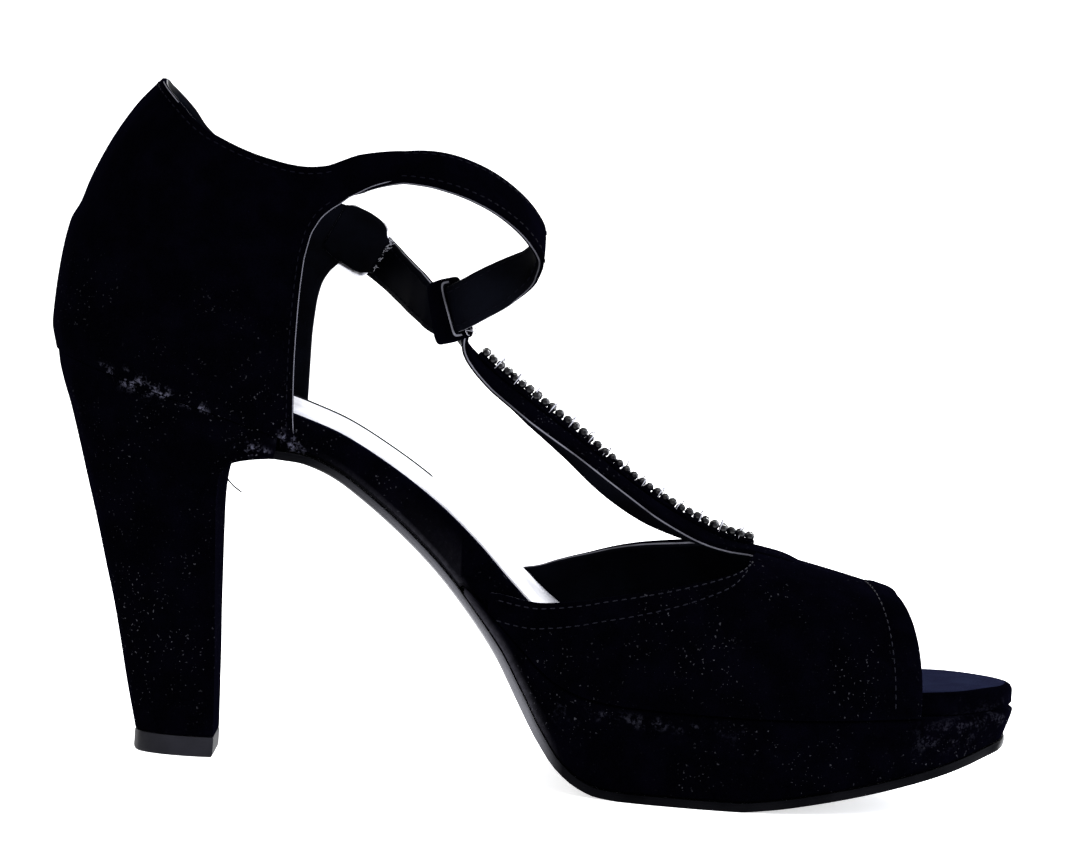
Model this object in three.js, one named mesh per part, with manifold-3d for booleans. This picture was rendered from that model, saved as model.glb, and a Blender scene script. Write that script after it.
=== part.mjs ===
// High heel shoe for the left foot: a platform with an open toe, a heel cup with an ankle strap cut
// in one with it, and a T-bar that rises from the vamp, trimmed with beads, and loops round the strap.
// Millimetres, +X to the toe, +Y to the outer side of the foot, +Z up.
// The origin is the middle of the flat tread under the ball of the foot, on the floor.
import * as THREE from "three";
import Module from "manifold-3d";
import { mergeVertices } from "three/addons/utils/BufferGeometryUtils.js";

const wasm = await Module();
wasm.setup();
const { Vector3 } = THREE;
const degree = Math.PI / 180;

// Driving dimensions: the last.
const toeReach = 79.7; // tread centre to the tip of the toe
const heelReach = 153; // tread centre to the back of the heel seat
const ballWidth = 76.5; // platform across the ball of the foot
const seatWidth = 50.5; // upper across the heel seat
const seatLength = 59; // back of the seat to the front edge of the heel cup
const heelHeight = 94.6; // floor to the seat at its back
const seatPitch = 16.5; // slope of the heel seat, in degrees
const toeSpring = 16.8; // underside of the toe above the floor
const toeLift = 4.1; // top of the platform at the toe above the same at the ball

// Driving dimensions: the sole.
const platformHeight = 21.9; // floor to the top of the platform under the ball
const platformTuck = 1.8; // how far the platform's wall draws in at its foot
const platformTail = 0.8; // thickness of the platform's rear edge
const outsoleThickness = 2;
const outsoleInset = 1.4; // outsole's edge inside the plan
const insoleThickness = 5.3; // covered board at the ball and the toe
const seatThickness = 6.2; // covered board over the heel
const sockThickness = 0.8;
const sockMargin = 2.3; // sock's edge inside the edge of the board
const waistDrop = 5.4; // seat's slope down to the underside just ahead of the heel
const edgeRound = 1.9; // rounding of the board's top edge

// Driving dimensions: the upper.
const wall = 1.8; // suede and lining together
const cupHeight = 71.4; // heel cup above the seat at its back
const vampHeight = 36.4; // crown of the vamp above the platform at the throat
const vampRear = -46; // rear corners of the vamp
const throat = 17; // front of the vamp's opening, on the crown
const peep = 55.8; // front edge of the vamp at its foot
const peepLean = 7.3; // how far that edge lies back at the crown
const archPower = 2.35; // roundness of the vamp's arch
const bandWidth = 4; // folded band along the topline
const bindingWidth = 5.2; // binding along the open toe
const foldHeight = 0.45; // how far band and binding stand proud
const strapWidth = 10.5;
const strapReach = 54; // heel cup to the foremost bend of the ankle strap
const strapLift = 65; // heel seat to the strap at its root
const barWidth = 15; // T-bar on the vamp
const loopWidth = 12; // T-bar where it turns round the ankle strap
const barArch = 3.3; // how far the T-bar's edges lie below its middle
const footReach = 30; // front end of the T-bar on the vamp

// Driving dimensions: heel, trim and buckle.
const tipThickness = 4.7;
const tipLength = 19.3;
const tipWidth = 19.6;
const breast = -109.3; // front face of the heel at the floor
const lipReach = 11.3; // heel's top lip ahead of that face
const beadPitch = 2.3;
const beadHeight = 1.3;
const beadRows = 3;
const trimWidth = 7;
const trimThickness = 0.5;
const buckleLength = 12;
const buckleWire = 0.8; // radius
const prongRadius = 0.6;
const holeAlong = -3.2; // hole of the strap, ahead of the middle of the buckle

// Clearances.
const gap = 0.3; // between curved pieces that meet
const edgeGap = 0.9; // board's edge to the inside of the upper
const slideGap = 0.5; // ankle strap inside its loop
const trimGap = 0.45; // beaded trim above the T-bar's flats
const beadClear = 5.8; // top end of the trim short of the top end of the T-bar

// A table holds named columns, a row for each section.
function table(names, rows) {
  return Object.fromEntries(names.split(" ").map((name, i) => [name, rows.map((row) => row[i])]));
}

// A smooth curve through a table's points that never swings past them.
function curve(xs, ys) {
  const last = xs.length - 1;
  const slopes = xs.slice(1).map((x, i) => (ys[i + 1] - ys[i]) / (x - xs[i]));
  const tangents = xs.map((_, i) => {
    if (i === 0) return slopes[0];
    if (i === last) return slopes[last - 1];
    const [before, after] = [slopes[i - 1], slopes[i]];
    return before * after <= 0 ? 0 : (2 * before * after) / (before + after);
  });
  return (x) => {
    if (x <= xs[0]) return ys[0];
    if (x >= xs[last]) return ys[last];
    const i = xs.findLastIndex((key) => key <= x);
    const span = xs[i + 1] - xs[i];
    const t = (x - xs[i]) / span;
    return (
      (2 * t ** 3 - 3 * t ** 2 + 1) * ys[i] +
      (t ** 3 - 2 * t ** 2 + t) * span * tangents[i] +
      (3 * t ** 2 - 2 * t ** 3) * ys[i + 1] +
      (t ** 3 - t ** 2) * span * tangents[i + 1]
    );
  };
}

function mix(a, b, t) {
  return a + (b - a) * t;
}

function ease(t) {
  const held = Math.min(1, Math.max(0, t));
  return held * held * (3 - 2 * held);
}

// Even steps from 0 to 1.
function steps(count) {
  return Array.from({ length: count + 1 }, (_, i) => i / count);
}

// Closed mesh from points and triangles, turned so that its faces point out.
function solid(points, faces) {
  let volume = 0;
  for (const [a, b, c] of faces) {
    volume += points[a].dot(new Vector3().crossVectors(points[b], points[c]));
  }
  const turned = volume < 0 ? faces.map(([a, b, c]) => [a, c, b]) : faces;
  const geometry = new THREE.BufferGeometry();
  const numbers = points.flatMap((point) => point.toArray());
  geometry.setAttribute("position", new THREE.Float32BufferAttribute(numbers, 3));
  geometry.setIndex(turned.flat());
  return geometry;
}

// Triangles across a ring, from its first point to the far side, two by two.
function across(size, tipFirst) {
  const faces = tipFirst ? [[0, 1, size - 1]] : [];
  let near = tipFirst ? 1 : 0;
  let far = size - 1;
  while (far - near > 1) {
    faces.push([near, near + 1, far]);
    if (far - near > 2) faces.push([near + 1, far - 1, far]);
    near += 1;
    far -= 1;
  }
  return faces;
}

// Skin over a row of rings of equal size, with its ends closed, or joined when it runs round.
function loft(rings, { tipFirst = false, round = false } = {}) {
  const size = rings[0].length;
  const faces = [];
  const bands = round ? rings.length : rings.length - 1;
  for (let k = 0; k < bands; k += 1) {
    const here = k * size;
    const next = ((k + 1) % rings.length) * size;
    for (let i = 0; i < size; i += 1) {
      const j = (i + 1) % size;
      faces.push([here + i, here + j, next + j], [here + i, next + j, next + i]);
    }
  }
  if (!round) {
    const end = (rings.length - 1) * size;
    for (const [a, b, c] of across(size, tipFirst)) {
      faces.push([a, c, b], [end + a, end + b, end + c]);
    }
  }
  return solid(rings.flat(), faces);
}

// Wall between two matching sets of sheets: the same points are joined, and open edges are closed.
function shell(sheets) {
  const outer = [];
  const inner = [];
  const places = new Map();
  const faces = [];
  for (const { outside, inside, flip } of sheets) {
    const numbers = outside.map((row, i) =>
      row.map((point, j) => {
        const key = point.toArray().map((value) => value.toFixed(3)).join(" ");
        if (!places.has(key)) {
          places.set(key, outer.length);
          outer.push(point);
          inner.push(inside[i][j]);
        }
        return places.get(key);
      }),
    );
    for (let i = 0; i + 1 < numbers.length; i += 1) {
      for (let j = 0; j + 1 < numbers[i].length; j += 1) {
        const [a, b] = [numbers[i][j], numbers[i][j + 1]];
        const [c, d] = [numbers[i + 1][j + 1], numbers[i + 1][j]];
        for (const face of [[a, b, c], [a, c, d]]) {
          if (new Set(face).size === 3) faces.push(flip ? face.toReversed() : face);
        }
      }
    }
  }
  const edges = new Set(faces.flatMap(([a, b, c]) => [`${a} ${b}`, `${b} ${c}`, `${c} ${a}`]));
  const count = outer.length;
  const closing = [];
  for (const edge of edges) {
    const [a, b] = edge.split(" ").map(Number);
    if (edges.has(`${b} ${a}`)) continue;
    closing.push([b, a, a + count], [b, a + count, b + count]);
  }
  const back = faces.map(([a, b, c]) => [a + count, c + count, b + count]);
  return solid([...outer, ...inner], [...faces, ...back, ...closing]);
}

function toManifold(geometry) {
  const bare = geometry.clone();
  bare.deleteAttribute("normal");
  bare.deleteAttribute("uv");
  const merged = mergeVertices(bare, 1e-4);
  return new wasm.Manifold(
    new wasm.Mesh({
      numProp: 3,
      vertProperties: new Float32Array(merged.attributes.position.array),
      triVerts: new Uint32Array(merged.index.array),
    }),
  );
}

function fromManifold(result) {
  const mesh = result.getMesh();
  const geometry = new THREE.BufferGeometry();
  geometry.setAttribute("position", new THREE.Float32BufferAttribute(mesh.vertProperties, 3));
  geometry.setIndex([...mesh.triVerts]);
  return geometry;
}

// Plan of the shoe from above: half widths as shares of the local width, at shares of the length.
const shoeLength = heelReach + toeReach;
const planRows = table("along medial lateral", [
  [0.013, 0.222, 0.222],
  [0.034, 0.337, 0.337],
  [0.064, 0.42, 0.42],
  [0.107, 0.475, 0.479],
  [0.163, 0.495, 0.505],
  [0.228, 0.463, 0.492],
  [0.292, 0.391, 0.465],
  [0.357, 0.332, 0.451],
  [0.421, 0.318, 0.457],
  [0.486, 0.363, 0.477],
  [0.55, 0.415, 0.496],
  [0.614, 0.464, 0.51],
  [0.679, 0.49, 0.51],
  [0.743, 0.49, 0.484],
  [0.808, 0.471, 0.438],
  [0.872, 0.425, 0.366],
  [0.915, 0.373, 0.294],
  [0.95, 0.307, 0.216],
  [0.976, 0.229, 0.124],
  [0.992, 0.173, 0.037],
]);
const toeAside = -0.065; // tip of the toe off the axis, as a share of the ball
const toeStation = planRows.along.length + 1;

// Width that a row's shares are taken of: the seat's behind, the ball's in front.
function localWidth(along) {
  return mix(seatWidth, ballWidth, ease((along - 0.2) / 0.42));
}

const planPoints = [
  [-heelReach, 0],
  ...planRows.along.map((a, i) => [a * shoeLength - heelReach, planRows.lateral[i] * localWidth(a)]),
  [toeReach, toeAside * ballWidth],
  ...planRows.along
    .map((a, i) => [a * shoeLength - heelReach, -planRows.medial[i] * localWidth(a)])
    .reverse(),
];

// Point of the plan at a station, counted in rows from the back along one side. An inset moves it
// inwards: straight across the shoe on the flanks, and along the normal at the round ends.
function planPoint(station, side, inset = 0) {
  const count = planPoints.length;
  const place = (side > 0 ? station : -station) + count;
  const first = Math.floor(place);
  const t = place - first;
  const [a, b, c, d] = [-1, 0, 1, 2].map((k) => planPoints[(first + k + count) % count]);
  const [x, y] = [0, 1].map((k) => {
    const [p, q, r, s] = [a[k], b[k], c[k], d[k]];
    return q + 0.5 * t * (r - p + t * (2 * p - 5 * q + 4 * r - s + t * (3 * (q - r) + s - p)));
  });
  const [dx, dy] = [0, 1].map((k) => {
    const [p, q, r, s] = [a[k], b[k], c[k], d[k]];
    return 0.5 * (r - p + 2 * t * (2 * p - 5 * q + 4 * r - s) + 3 * t * t * (3 * (q - r) + s - p));
  });
  const length = Math.hypot(dx, dy);
  const [inX, inY] = [dy / length, -dx / length];
  const ends = Math.max(ease((4.5 - station) / 2), ease((station - toeStation + 7) / 2));
  const shift = ends > 0.99 ? inY : mix(1 / inY, inY, ends);
  return [x + inset * inX * ends, y + inset * shift];
}

// Station of one side at a place along the shoe.
function stationAt(x, side = 1) {
  let [low, high] = [0, toeStation];
  for (let turn = 0; turn < 40; turn += 1) {
    const middle = (low + high) / 2;
    if (planPoint(middle, side)[0] < x) low = middle;
    else high = middle;
  }
  return (low + high) / 2;
}

// Stations between two places: each row, two or three more on long stretches, and any extra ones.
function stations(from, to, extra = []) {
  const list = [...extra];
  for (let station = 1; station < toeStation; station += 0.25) {
    const short = station < 3 || station > toeStation - 3;
    const curved = station > 9 && station < 13;
    if (station % 1 && short) continue;
    if (station % 0.5 && !curved) continue;
    if (extra.some((other) => Math.abs(other - station) < 0.1)) continue;
    if (station > from + 0.12 && station < to - 0.12) list.push(station);
  }
  list.sort((a, b) => a - b);
  return [...(from > 0 ? [from] : []), ...list, ...(to < toeStation ? [to] : [])];
}

// Seat: a plane that slopes down to the front.
function seatPlane(x) {
  return heelHeight - (x + heelReach) * Math.tan(seatPitch * degree);
}

const cupFront = seatLength - heelReach;
const seatFront = seatPlane(cupFront);
const seatBed = seatFront + seatThickness;
const ballBed = platformHeight + gap + insoleThickness;

// Upper line of the footbed, from the front of the seat to the ball, as shares of run and rise.
const bedRows = table("run rise", [
  [0, 1], [0.104, 0.935], [0.229, 0.817], [0.354, 0.671], [0.458, 0.52],
  [0.563, 0.343], [0.667, 0.185], [0.771, 0.072], [0.875, 0.017], [1, 0],
]);
const bedShare = curve(bedRows.run, bedRows.rise);

// Underside, from just ahead of the heel to the rear end of the flat tread.
const undersideRows = table("run rise", [
  [0, 1], [0.06, 0.992], [0.113, 0.972], [0.17, 0.939], [0.227, 0.894], [0.344, 0.787], [0.461, 0.661],
  [0.582, 0.499], [0.641, 0.408], [0.705, 0.284], [0.767, 0.165], [0.827, 0.077], [0.884, 0.029],
  [0.94, 0.006], [1, 0],
]);
const undersideShare = curve(undersideRows.run, undersideRows.rise);

// Top of the platform behind the ball.
const creaseRows = table("run rise", [
  [0, 0.43], [0.12, 0.322], [0.227, 0.214], [0.33, 0.112], [0.402, 0.062], [0.524, 0.02], [0.69, 0.004],
  [1, 0],
]);
const creaseShare = curve(creaseRows.run, creaseRows.rise);

const springRows = table("run rise", [
  [0, 0], [0.13, 0.07], [0.276, 0.178], [0.422, 0.3], [0.567, 0.44], [0.717, 0.603], [0.871, 0.81], [1, 1],
]);
const springShare = curve(springRows.run, springRows.rise);

const treadBack = -13;
const treadFront = 16;
const bedRun = 96; // seat's front to the lowest place of the footbed
const platformRear = -52;
const platformRun = 59; // rear edge of the platform to the ball
const lipFront = breast + lipReach;
const outsoleRear = lipFront + gap;

function bedTop(x) {
  if (x < cupFront) return seatPlane(x) + seatThickness;
  const rise = bedShare((x - cupFront) / bedRun) * (seatBed - ballBed);
  return ballBed + rise + toeLift * ease((x - treadFront) / (toeReach * 1.25 - treadFront));
}

function underside(x) {
  if (x > treadFront) return toeSpring * springShare((x - treadFront) / (toeReach - treadFront));
  return (seatPlane(lipFront) - waistDrop) * undersideShare((x - lipFront) / (treadBack - lipFront));
}

// Height that a layer of the given thickness takes up where the underside slopes.
function upright(thickness, x) {
  const slope = underside(x + 0.5) - underside(x - 0.5);
  return thickness * Math.hypot(1, slope);
}

function outsoleTop(x) {
  return underside(x) + upright(outsoleThickness, x);
}

function platformTop(x) {
  const rise = creaseShare((x - platformRear) / platformRun) * (seatFront - platformHeight);
  const lift = toeLift * ease((x - treadFront) / (toeReach * 1.25 - treadFront));
  return Math.max(platformHeight + rise + lift, outsoleTop(x) + upright(gap + platformTail, x));
}

// Underside of the board: on the heel, then on the outsole, then on the platform, with short steps.
const heelStep = [outsoleRear, outsoleRear + 0.5];
const platformStep = [platformRear - 1.4, platformRear - 0.4];

function insoleBottom(x) {
  if (x <= heelStep[0]) return seatPlane(x);
  if (x >= platformStep[1]) return platformTop(x) + gap;
  const onOutsole = outsoleTop(x) + upright(gap, x);
  if (x < heelStep[1]) return mix(seatPlane(x), onOutsole, (x - heelStep[0]) / 0.5);
  return mix(onOutsole, platformTop(x) + gap, Math.max(0, x - platformStep[0]));
}

// Board's edge inside the plan: it leaves room for the upper's wall, and comes out again at the toe.
const toeInset = 0.4;
const toeBlend = 9; // from the open toe's edge to where the board has its full width

function boardInset(x) {
  return mix(wall + edgeGap, toeInset, ease((x - peep - 1) / toeBlend));
}

// Ring of plan points at one height function and inset.
function planRing(list, ends, inset, height) {
  const at = (station, side) => {
    const [x0] = planPoint(station, side);
    const [x, y] = planPoint(station, side, typeof inset === "function" ? inset(x0) : inset);
    return new Vector3(x, y, height(x));
  };
  return [
    ...(ends.back ? [at(0, 1)] : []),
    ...list.map((station) => at(station, 1)),
    ...(ends.toe ? [at(toeStation, 1)] : []),
    ...list.toReversed().map((station) => at(station, -1)),
  ];
}

// Layer of the sole between two places, as rings from its lower face to its upper face.
function layer(from, to, levels, places = []) {
  const ends = { back: from === null, toe: to === null };
  const extra = places.map((x) => stationAt(x));
  const list = stations(ends.back ? 0 : stationAt(from), ends.toe ? toeStation : stationAt(to), extra);
  const rings = levels.map(([inset, height]) => planRing(list, ends, inset, height));
  return loft(rings, { tipFirst: ends.back });
}

function outsole() {
  return layer(outsoleRear, null, [
    [outsoleInset + 0.6, underside],
    [outsoleInset, (x) => mix(underside(x), outsoleTop(x), 0.3)],
    [outsoleInset, outsoleTop],
  ]);
}

function platform() {
  const foot = (x) => outsoleTop(x) + upright(gap, x);
  const at = (share) => (x) => mix(foot(x), platformTop(x), share);
  return layer(platformRear, null, [
    [platformTuck, foot],
    [platformTuck * 0.6, at(0.35)],
    [platformTuck * 0.15, at(0.75)],
    [0, at(0.93)],
    [0.5, platformTop],
  ]);
}

function insole() {
  const inset = (more) => (x) => boardInset(x) + more;
  const levels = [
    [inset(0.7), insoleBottom],
    [inset(0), (x) => insoleBottom(x) + 0.8],
    [inset(0), (x) => bedTop(x) - edgeRound],
    [inset(edgeRound * 0.3), (x) => bedTop(x) - edgeRound * 0.3],
    [inset(edgeRound), bedTop],
  ];
  return layer(null, null, levels, [...heelStep, ...platformStep]);
}

const sockFront = 30; // front edge of the sock, under the vamp

function sock() {
  const inset = (more) => (x) => boardInset(x) + sockMargin + more;
  return layer(null, sockFront, [
    [inset(0), (x) => bedTop(x) + gap],
    [inset(0), (x) => bedTop(x) + gap + sockThickness * 0.6],
    [inset(0.3), (x) => bedTop(x) + gap + sockThickness],
  ]);
}

// Heel: sections that turn from level at the floor to the slope of the seat, as shares from tip to seat.
const heelRows = table("back backUp front frontUp width", [
  [0, 0, 0, 0, 0],
  [0.113, 0.122, -0.035, 0.144, 0.027],
  [0.2, 0.228, -0.07, 0.274, 0.075],
  [0.293, 0.335, -0.115, 0.397, 0.143],
  [0.4, 0.44, -0.15, 0.52, 0.23],
  [0.506, 0.546, -0.186, 0.644, 0.34],
  [0.62, 0.652, -0.212, 0.76, 0.47],
  [0.732, 0.757, -0.177, 0.849, 0.626],
  [0.849, 0.861, 0.07, 0.904, 0.803],
  [0.92, 0.914, 0.47, 0.922, 0.898],
  [0.975, 0.963, 0.947, 0.936, 0.966],
  [1, 1, 1, 1, 1],
]);
const heelInset = 0.5; // heel's top edge inside the upper
const heelFoot = tipThickness + gap;

// Section shape of the heel, taken from the plan behind its front lip: shares along and across.
const heelShape = (() => {
  const last = stationAt(lipFront);
  const list = [...stations(0, last), last].filter((station, i, all) => station !== all[i - 1]);
  const place = (station, side) => {
    const [x, y] = planPoint(station, side, heelInset);
    return [(x + heelReach - heelInset) / (lipFront + heelReach - heelInset), (2 * y) / seatWidth];
  };
  return [
    [0, 0],
    ...list.map((station) => place(station, 1)),
    ...list.toReversed().map((station) => place(station, -1)),
  ];
})();

function heelSection(row) {
  const tipBack = breast - tipLength;
  const back = mix(tipBack, heelInset - heelReach, heelRows.back[row]);
  const front = breast + lipReach * heelRows.front[row];
  const backUp = mix(heelFoot, seatPlane(heelInset - heelReach) - gap, heelRows.backUp[row]);
  const frontUp = mix(heelFoot, seatPlane(lipFront) - gap, heelRows.frontUp[row]);
  const width = mix(tipWidth, seatWidth, heelRows.width[row]);
  return heelShape.map(
    ([s, w]) => new Vector3(mix(back, front, s), (w * width) / 2, mix(backUp, frontUp, s)),
  );
}

function heel() {
  return loft(heelRows.back.map((_, row) => heelSection(row)), { tipFirst: true });
}

function heelTip() {
  const top = heelSection(0);
  const at = (z, grow) =>
    top.map((point) => {
      const middle = breast - tipLength / 2;
      const x = middle + (point.x - middle) * grow;
      return new Vector3(x, point.y * grow, z);
    });
  return loft([at(0, 0.97), at(0.6, 1.01), at(tipThickness, 1.01)], { tipFirst: true });
}

// Heel cup: how its back leans forward with the level, and how its front edges run.
const cupRows = table("level back", [
  [0, 0], [0.08, -0.022], [0.147, -0.019], [0.285, -0.005], [0.43, 0.025], [0.505, 0.064],
  [0.58, 0.092], [0.657, 0.127], [0.738, 0.169], [0.818, 0.217], [0.903, 0.276], [1, 0.359],
]);
const cupBack = curve(cupRows.level, cupRows.back);
const cupBulge = curve([0, 0.12, 0.35, 0.6, 0.8, 1], [0, 0.02, 0.04, 0.03, 0, -0.04]);
const edgeRows = table("level medial lateral", [
  [0, 0, 0], [0.1, -0.012, -0.003], [0.3, -0.019, -0.004], [0.43, -0.017, 0.005], [0.5, -0.014, 0.02],
  [0.55, -0.01, 0.046], [0.6, -0.005, 0.09], [0.64, 0.004, 0.122], [0.69, 0.017, 0.148],
  [0.72, 0.033, 0.15], [0.75, 0.051, 0.14], [0.79, 0.088, 0.12], [0.825, 0.129, 0.12],
  [0.86, 0.16, 0.12], [1, 0.16, 0.12],
]);
const cupEdge = { 1: curve(edgeRows.level, edgeRows.lateral), [-1]: curve(edgeRows.level, edgeRows.medial) };
const toplineRows = table("run medial lateral", [
  [0, 1, 1], [0.23, 0.94, 0.93], [0.335, 0.91, 0.885], [0.445, 0.888, 0.85], [0.66, 0.873, 0.79],
  [0.76, 0.877, 0.78], [0.83, 0.886, 0.783], [0.92, 0.918, 0.79], [1, 0.983, 0.8],
]);
const cupTop = {
  1: curve(toplineRows.run, toplineRows.lateral),
  [-1]: curve(toplineRows.run, toplineRows.medial),
};
const cupFlare = { 1: 0.06, [-1]: 0.155 }; // widening of each front edge at the top

// Point of the heel cup's outer face: station of the plan, side, and level above the seat.
function cupPoint(station, side, level) {
  const [x0, y0] = planPoint(station, side);
  const run = (x0 + heelReach) / seatLength;
  const back = -heelReach + seatLength * cupBack(level);
  const x = mix(back, cupFront, run) + seatLength * cupEdge[side](level) * run ** 4;
  const wide = 1 + cupBulge(level) + cupFlare[side] * level ** 1.5 * run ** 2;
  return new Vector3(x, y0 * wide, seatPlane(x) + level * cupHeight);
}

// Unit normal of a surface of two parameters, by small steps.
function normalOf(surface, u, v, du, dv) {
  const alongU = surface(u + du, v).sub(surface(u - du, v));
  const alongV = surface(u, v + dv).sub(surface(u, v - dv));
  return alongU.cross(alongV).normalize();
}

function cupNormal(station, side, level) {
  const surface = (u, v) => cupPoint(Math.max(u, 0), u < 0 ? -side : side, Math.max(0, v));
  const normal = normalOf(surface, Math.max(station, 0.02), Math.max(level, 0.01), 0.02, 0.01);
  return normal.multiplyScalar(-side);
}

const cupLevels = [0, 0.07, 0.18, 0.32, 0.46, 0.58, 0.66, 0.73, 0.79, 0.83, 0.865, 0.91, 0.955, 1];
const rootLevels = cupLevels.slice(-4); // the ankle strap leaves the cup's inner side between these

// Sheets of the heel cup, one for each side.
function cupSheets() {
  return [1, -1].map((side) => {
    const front = stationAt(cupFront, side);
    const list = [0, ...stations(0, front)];
    const outside = [];
    const inside = [];
    for (const share of cupLevels) {
      const points = list.map((station) => {
        const run = (planPoint(station, side)[0] + heelReach) / seatLength;
        const level = share * cupTop[side](run);
        const point = cupPoint(station, side, level);
        const normal = cupNormal(station, side, level);
        if (station === 0) normal.setY(0).normalize();
        if (share === 0) normal.setZ(0).normalize();
        return [point, point.clone().addScaledVector(normal, -wall)];
      });
      outside.push(points.map((pair) => pair[0]));
      inside.push(points.map((pair) => pair[1]));
    }
    return { outside, inside, flip: side < 0 };
  });
}

// Path through points at equal steps of a parameter, as a smooth curve.
function path(points) {
  return new THREE.CatmullRomCurve3(points, false, "centripetal");
}

// Band along stations. Each has its middle on the outer face, the direction across, the half width and
// how far its edges lie below the middle.
function ribbon(list, thickness, columns) {
  const rings = list.map(({ middle, along, side, half, drop }) => {
    const face = new Vector3().crossVectors(side, along).normalize();
    const at = (share, depth) =>
      middle
        .clone()
        .addScaledVector(side, share * half)
        .addScaledVector(face, -drop * share * share - depth);
    const shares = steps(columns).map((step) => 2 * step - 1);
    return [
      ...shares.map((share) => at(share, 0)),
      ...shares.toReversed().map((share) => at(share, thickness)),
    ];
  });
  return loft(rings);
}

// Place where the ankle strap leaves the front edge of the cup's inner side.
const strapRoot = (() => {
  const station = stationAt(cupFront, -1);
  const [low, top] = [rootLevels[0], 1].map((share) => share * cupTop[-1](1));
  const side = cupPoint(station, -1, top).sub(cupPoint(station, -1, low));
  const middle = cupPoint(station, -1, top).addScaledVector(side, -0.5);
  middle.addScaledVector(cupNormal(station, -1, (low + top) / 2), -wall / 2);
  return { middle, half: side.length() / 2, tiltY: side.y / side.z, tiltX: side.x / side.z };
})();

// Ankle strap from its root to the outer side: places as shares of reach, seat width and lift, and how
// its top edge leans to the outer side and to the front, as slopes.
const strapRows = table("along across up lean ahead", [
  [0.4, -0.554, 1.002, 0.87, 0],
  [0.572, -0.535, 1.004, 0.9, 0],
  [0.733, -0.475, 0.965, 0.9, 0],
  [0.868, -0.376, 0.9, 0.97, 0],
  [0.965, -0.287, 0.823, 1.04, 0],
  [1.005, -0.222, 0.757, 1.1, 0],
  [0.965, -0.176, 0.689, 0.84, 0],
  [0.848, -0.17, 0.615, 0.36, 0],
  [0.741, -0.186, 0.558, 0.14, -0.14],
  [0.665, -0.15, 0.518, 0, -0.25],
  [0.62, 0, 0.498, 0, -0.25],
  [0.575, 0.15, 0.478, 0, -0.25],
  [0.52, 0.215, 0.508, 0, -0.14],
  [0.46, 0.3, 0.547, 0, 0],
  [0.395, 0.405, 0.589, 0, 0],
  [0.33, 0.49, 0.631, 0, 0],
  [0.265, 0.535, 0.67, 0, 0],
]);
const loopRow = strapRows.along.indexOf(0.62) + 1;
const tailRows = table("run level", [[1, 0.69], [0.9, 0.705], [0.8, 0.72], [0.72, 0.727], [0.62, 0.73]]);
const strapOff = 2 * gap; // end of the strap clear of the heel cup

const strapNodes = [
  { middle: strapRoot.middle, lean: strapRoot.tiltY, ahead: strapRoot.tiltX },
  ...strapRows.along.map((along, i) => ({
    middle: new Vector3(
      cupFront + along * strapReach,
      strapRows.across[i] * seatWidth,
      seatFront + strapRows.up[i] * strapLift,
    ),
    lean: strapRows.lean[i],
    ahead: strapRows.ahead[i],
  })),
  ...tailRows.run.map((run, i) => {
    const station = stationAt(-heelReach + run * seatLength, 1);
    const point = cupPoint(station, 1, tailRows.level[i]);
    point.addScaledVector(cupNormal(station, 1, tailRows.level[i]), strapOff + wall / 2);
    return { middle: point, lean: 0, ahead: 0 };
  }),
];
const strapPath = path(strapNodes.map((node) => node.middle));
const strapCount = strapNodes.length - 1;

// Middle of the strap and its three directions at a row number.
function strapFrame(row) {
  const place = Math.min(row, strapCount - 1e-4) / strapCount;
  const whole = Math.min(Math.floor(row), strapCount - 1);
  const [here, next] = [strapNodes[whole], strapNodes[whole + 1]];
  const lean = mix(here.lean, next.lean, row - whole);
  const ahead = mix(here.ahead, next.ahead, row - whole);
  const along = strapPath.getTangent(place);
  const side = new Vector3(ahead, lean, 1);
  side.addScaledVector(along, -side.dot(along)).normalize();
  const face = new Vector3().crossVectors(along, side).normalize();
  return { middle: strapPath.getPoint(place), along, side, face };
}

const buckleRow = strapRows.along.length + 0.95;

// Sheet of the ankle strap: it starts on the points of the cup's front edge.
function strapSheet(cup) {
  const first = (sheet) => sheet.slice(-rootLevels.length).map((row) => row.at(-1));
  const columns = [[first(cup.outside), first(cup.inside)]];
  for (let row = 0.5; row <= strapCount; row += 0.5) {
    const { middle, side, face } = strapFrame(row);
    const end = strapCount - row;
    const taper = end < 0.25 ? 0.5 : end < 0.75 ? 0.86 : 1;
    const half = mix(strapRoot.half, strapWidth / 2, ease(row / 1.5)) * taper;
    const at = (depth) =>
      rootLevels.map((_, i) =>
        middle
          .clone()
          .addScaledVector(side, half * ((2 * i) / (rootLevels.length - 1) - 1))
          .addScaledVector(face, depth),
      );
    columns.push([at(wall / 2), at(-wall / 2)]);
  }
  const turned = (which) => rootLevels.map((_, i) => columns.map((column) => column[which][i]));
  return { outside: turned(0), inside: turned(1), flip: true };
}

// Hole for the prong, through the strap and not into the cup behind it.
function prongHole() {
  const { face } = strapFrame(buckleRow);
  const radius = prongRadius + 2.5 * gap;
  const depth = wall + strapOff;
  const hole = new THREE.CylinderGeometry(radius, radius, depth, 10);
  hole.applyQuaternion(new THREE.Quaternion().setFromUnitVectors(new Vector3(0, 1, 0), face));
  hole.translate(...bucklePoint(holeAlong, 0, 0).toArray());
  return hole;
}

function quarter() {
  const cup = cupSheets();
  const joined = shell([...cup, strapSheet(cup[1])]);
  return fromManifold(toManifold(joined).subtract(toManifold(prongHole())));
}

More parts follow.
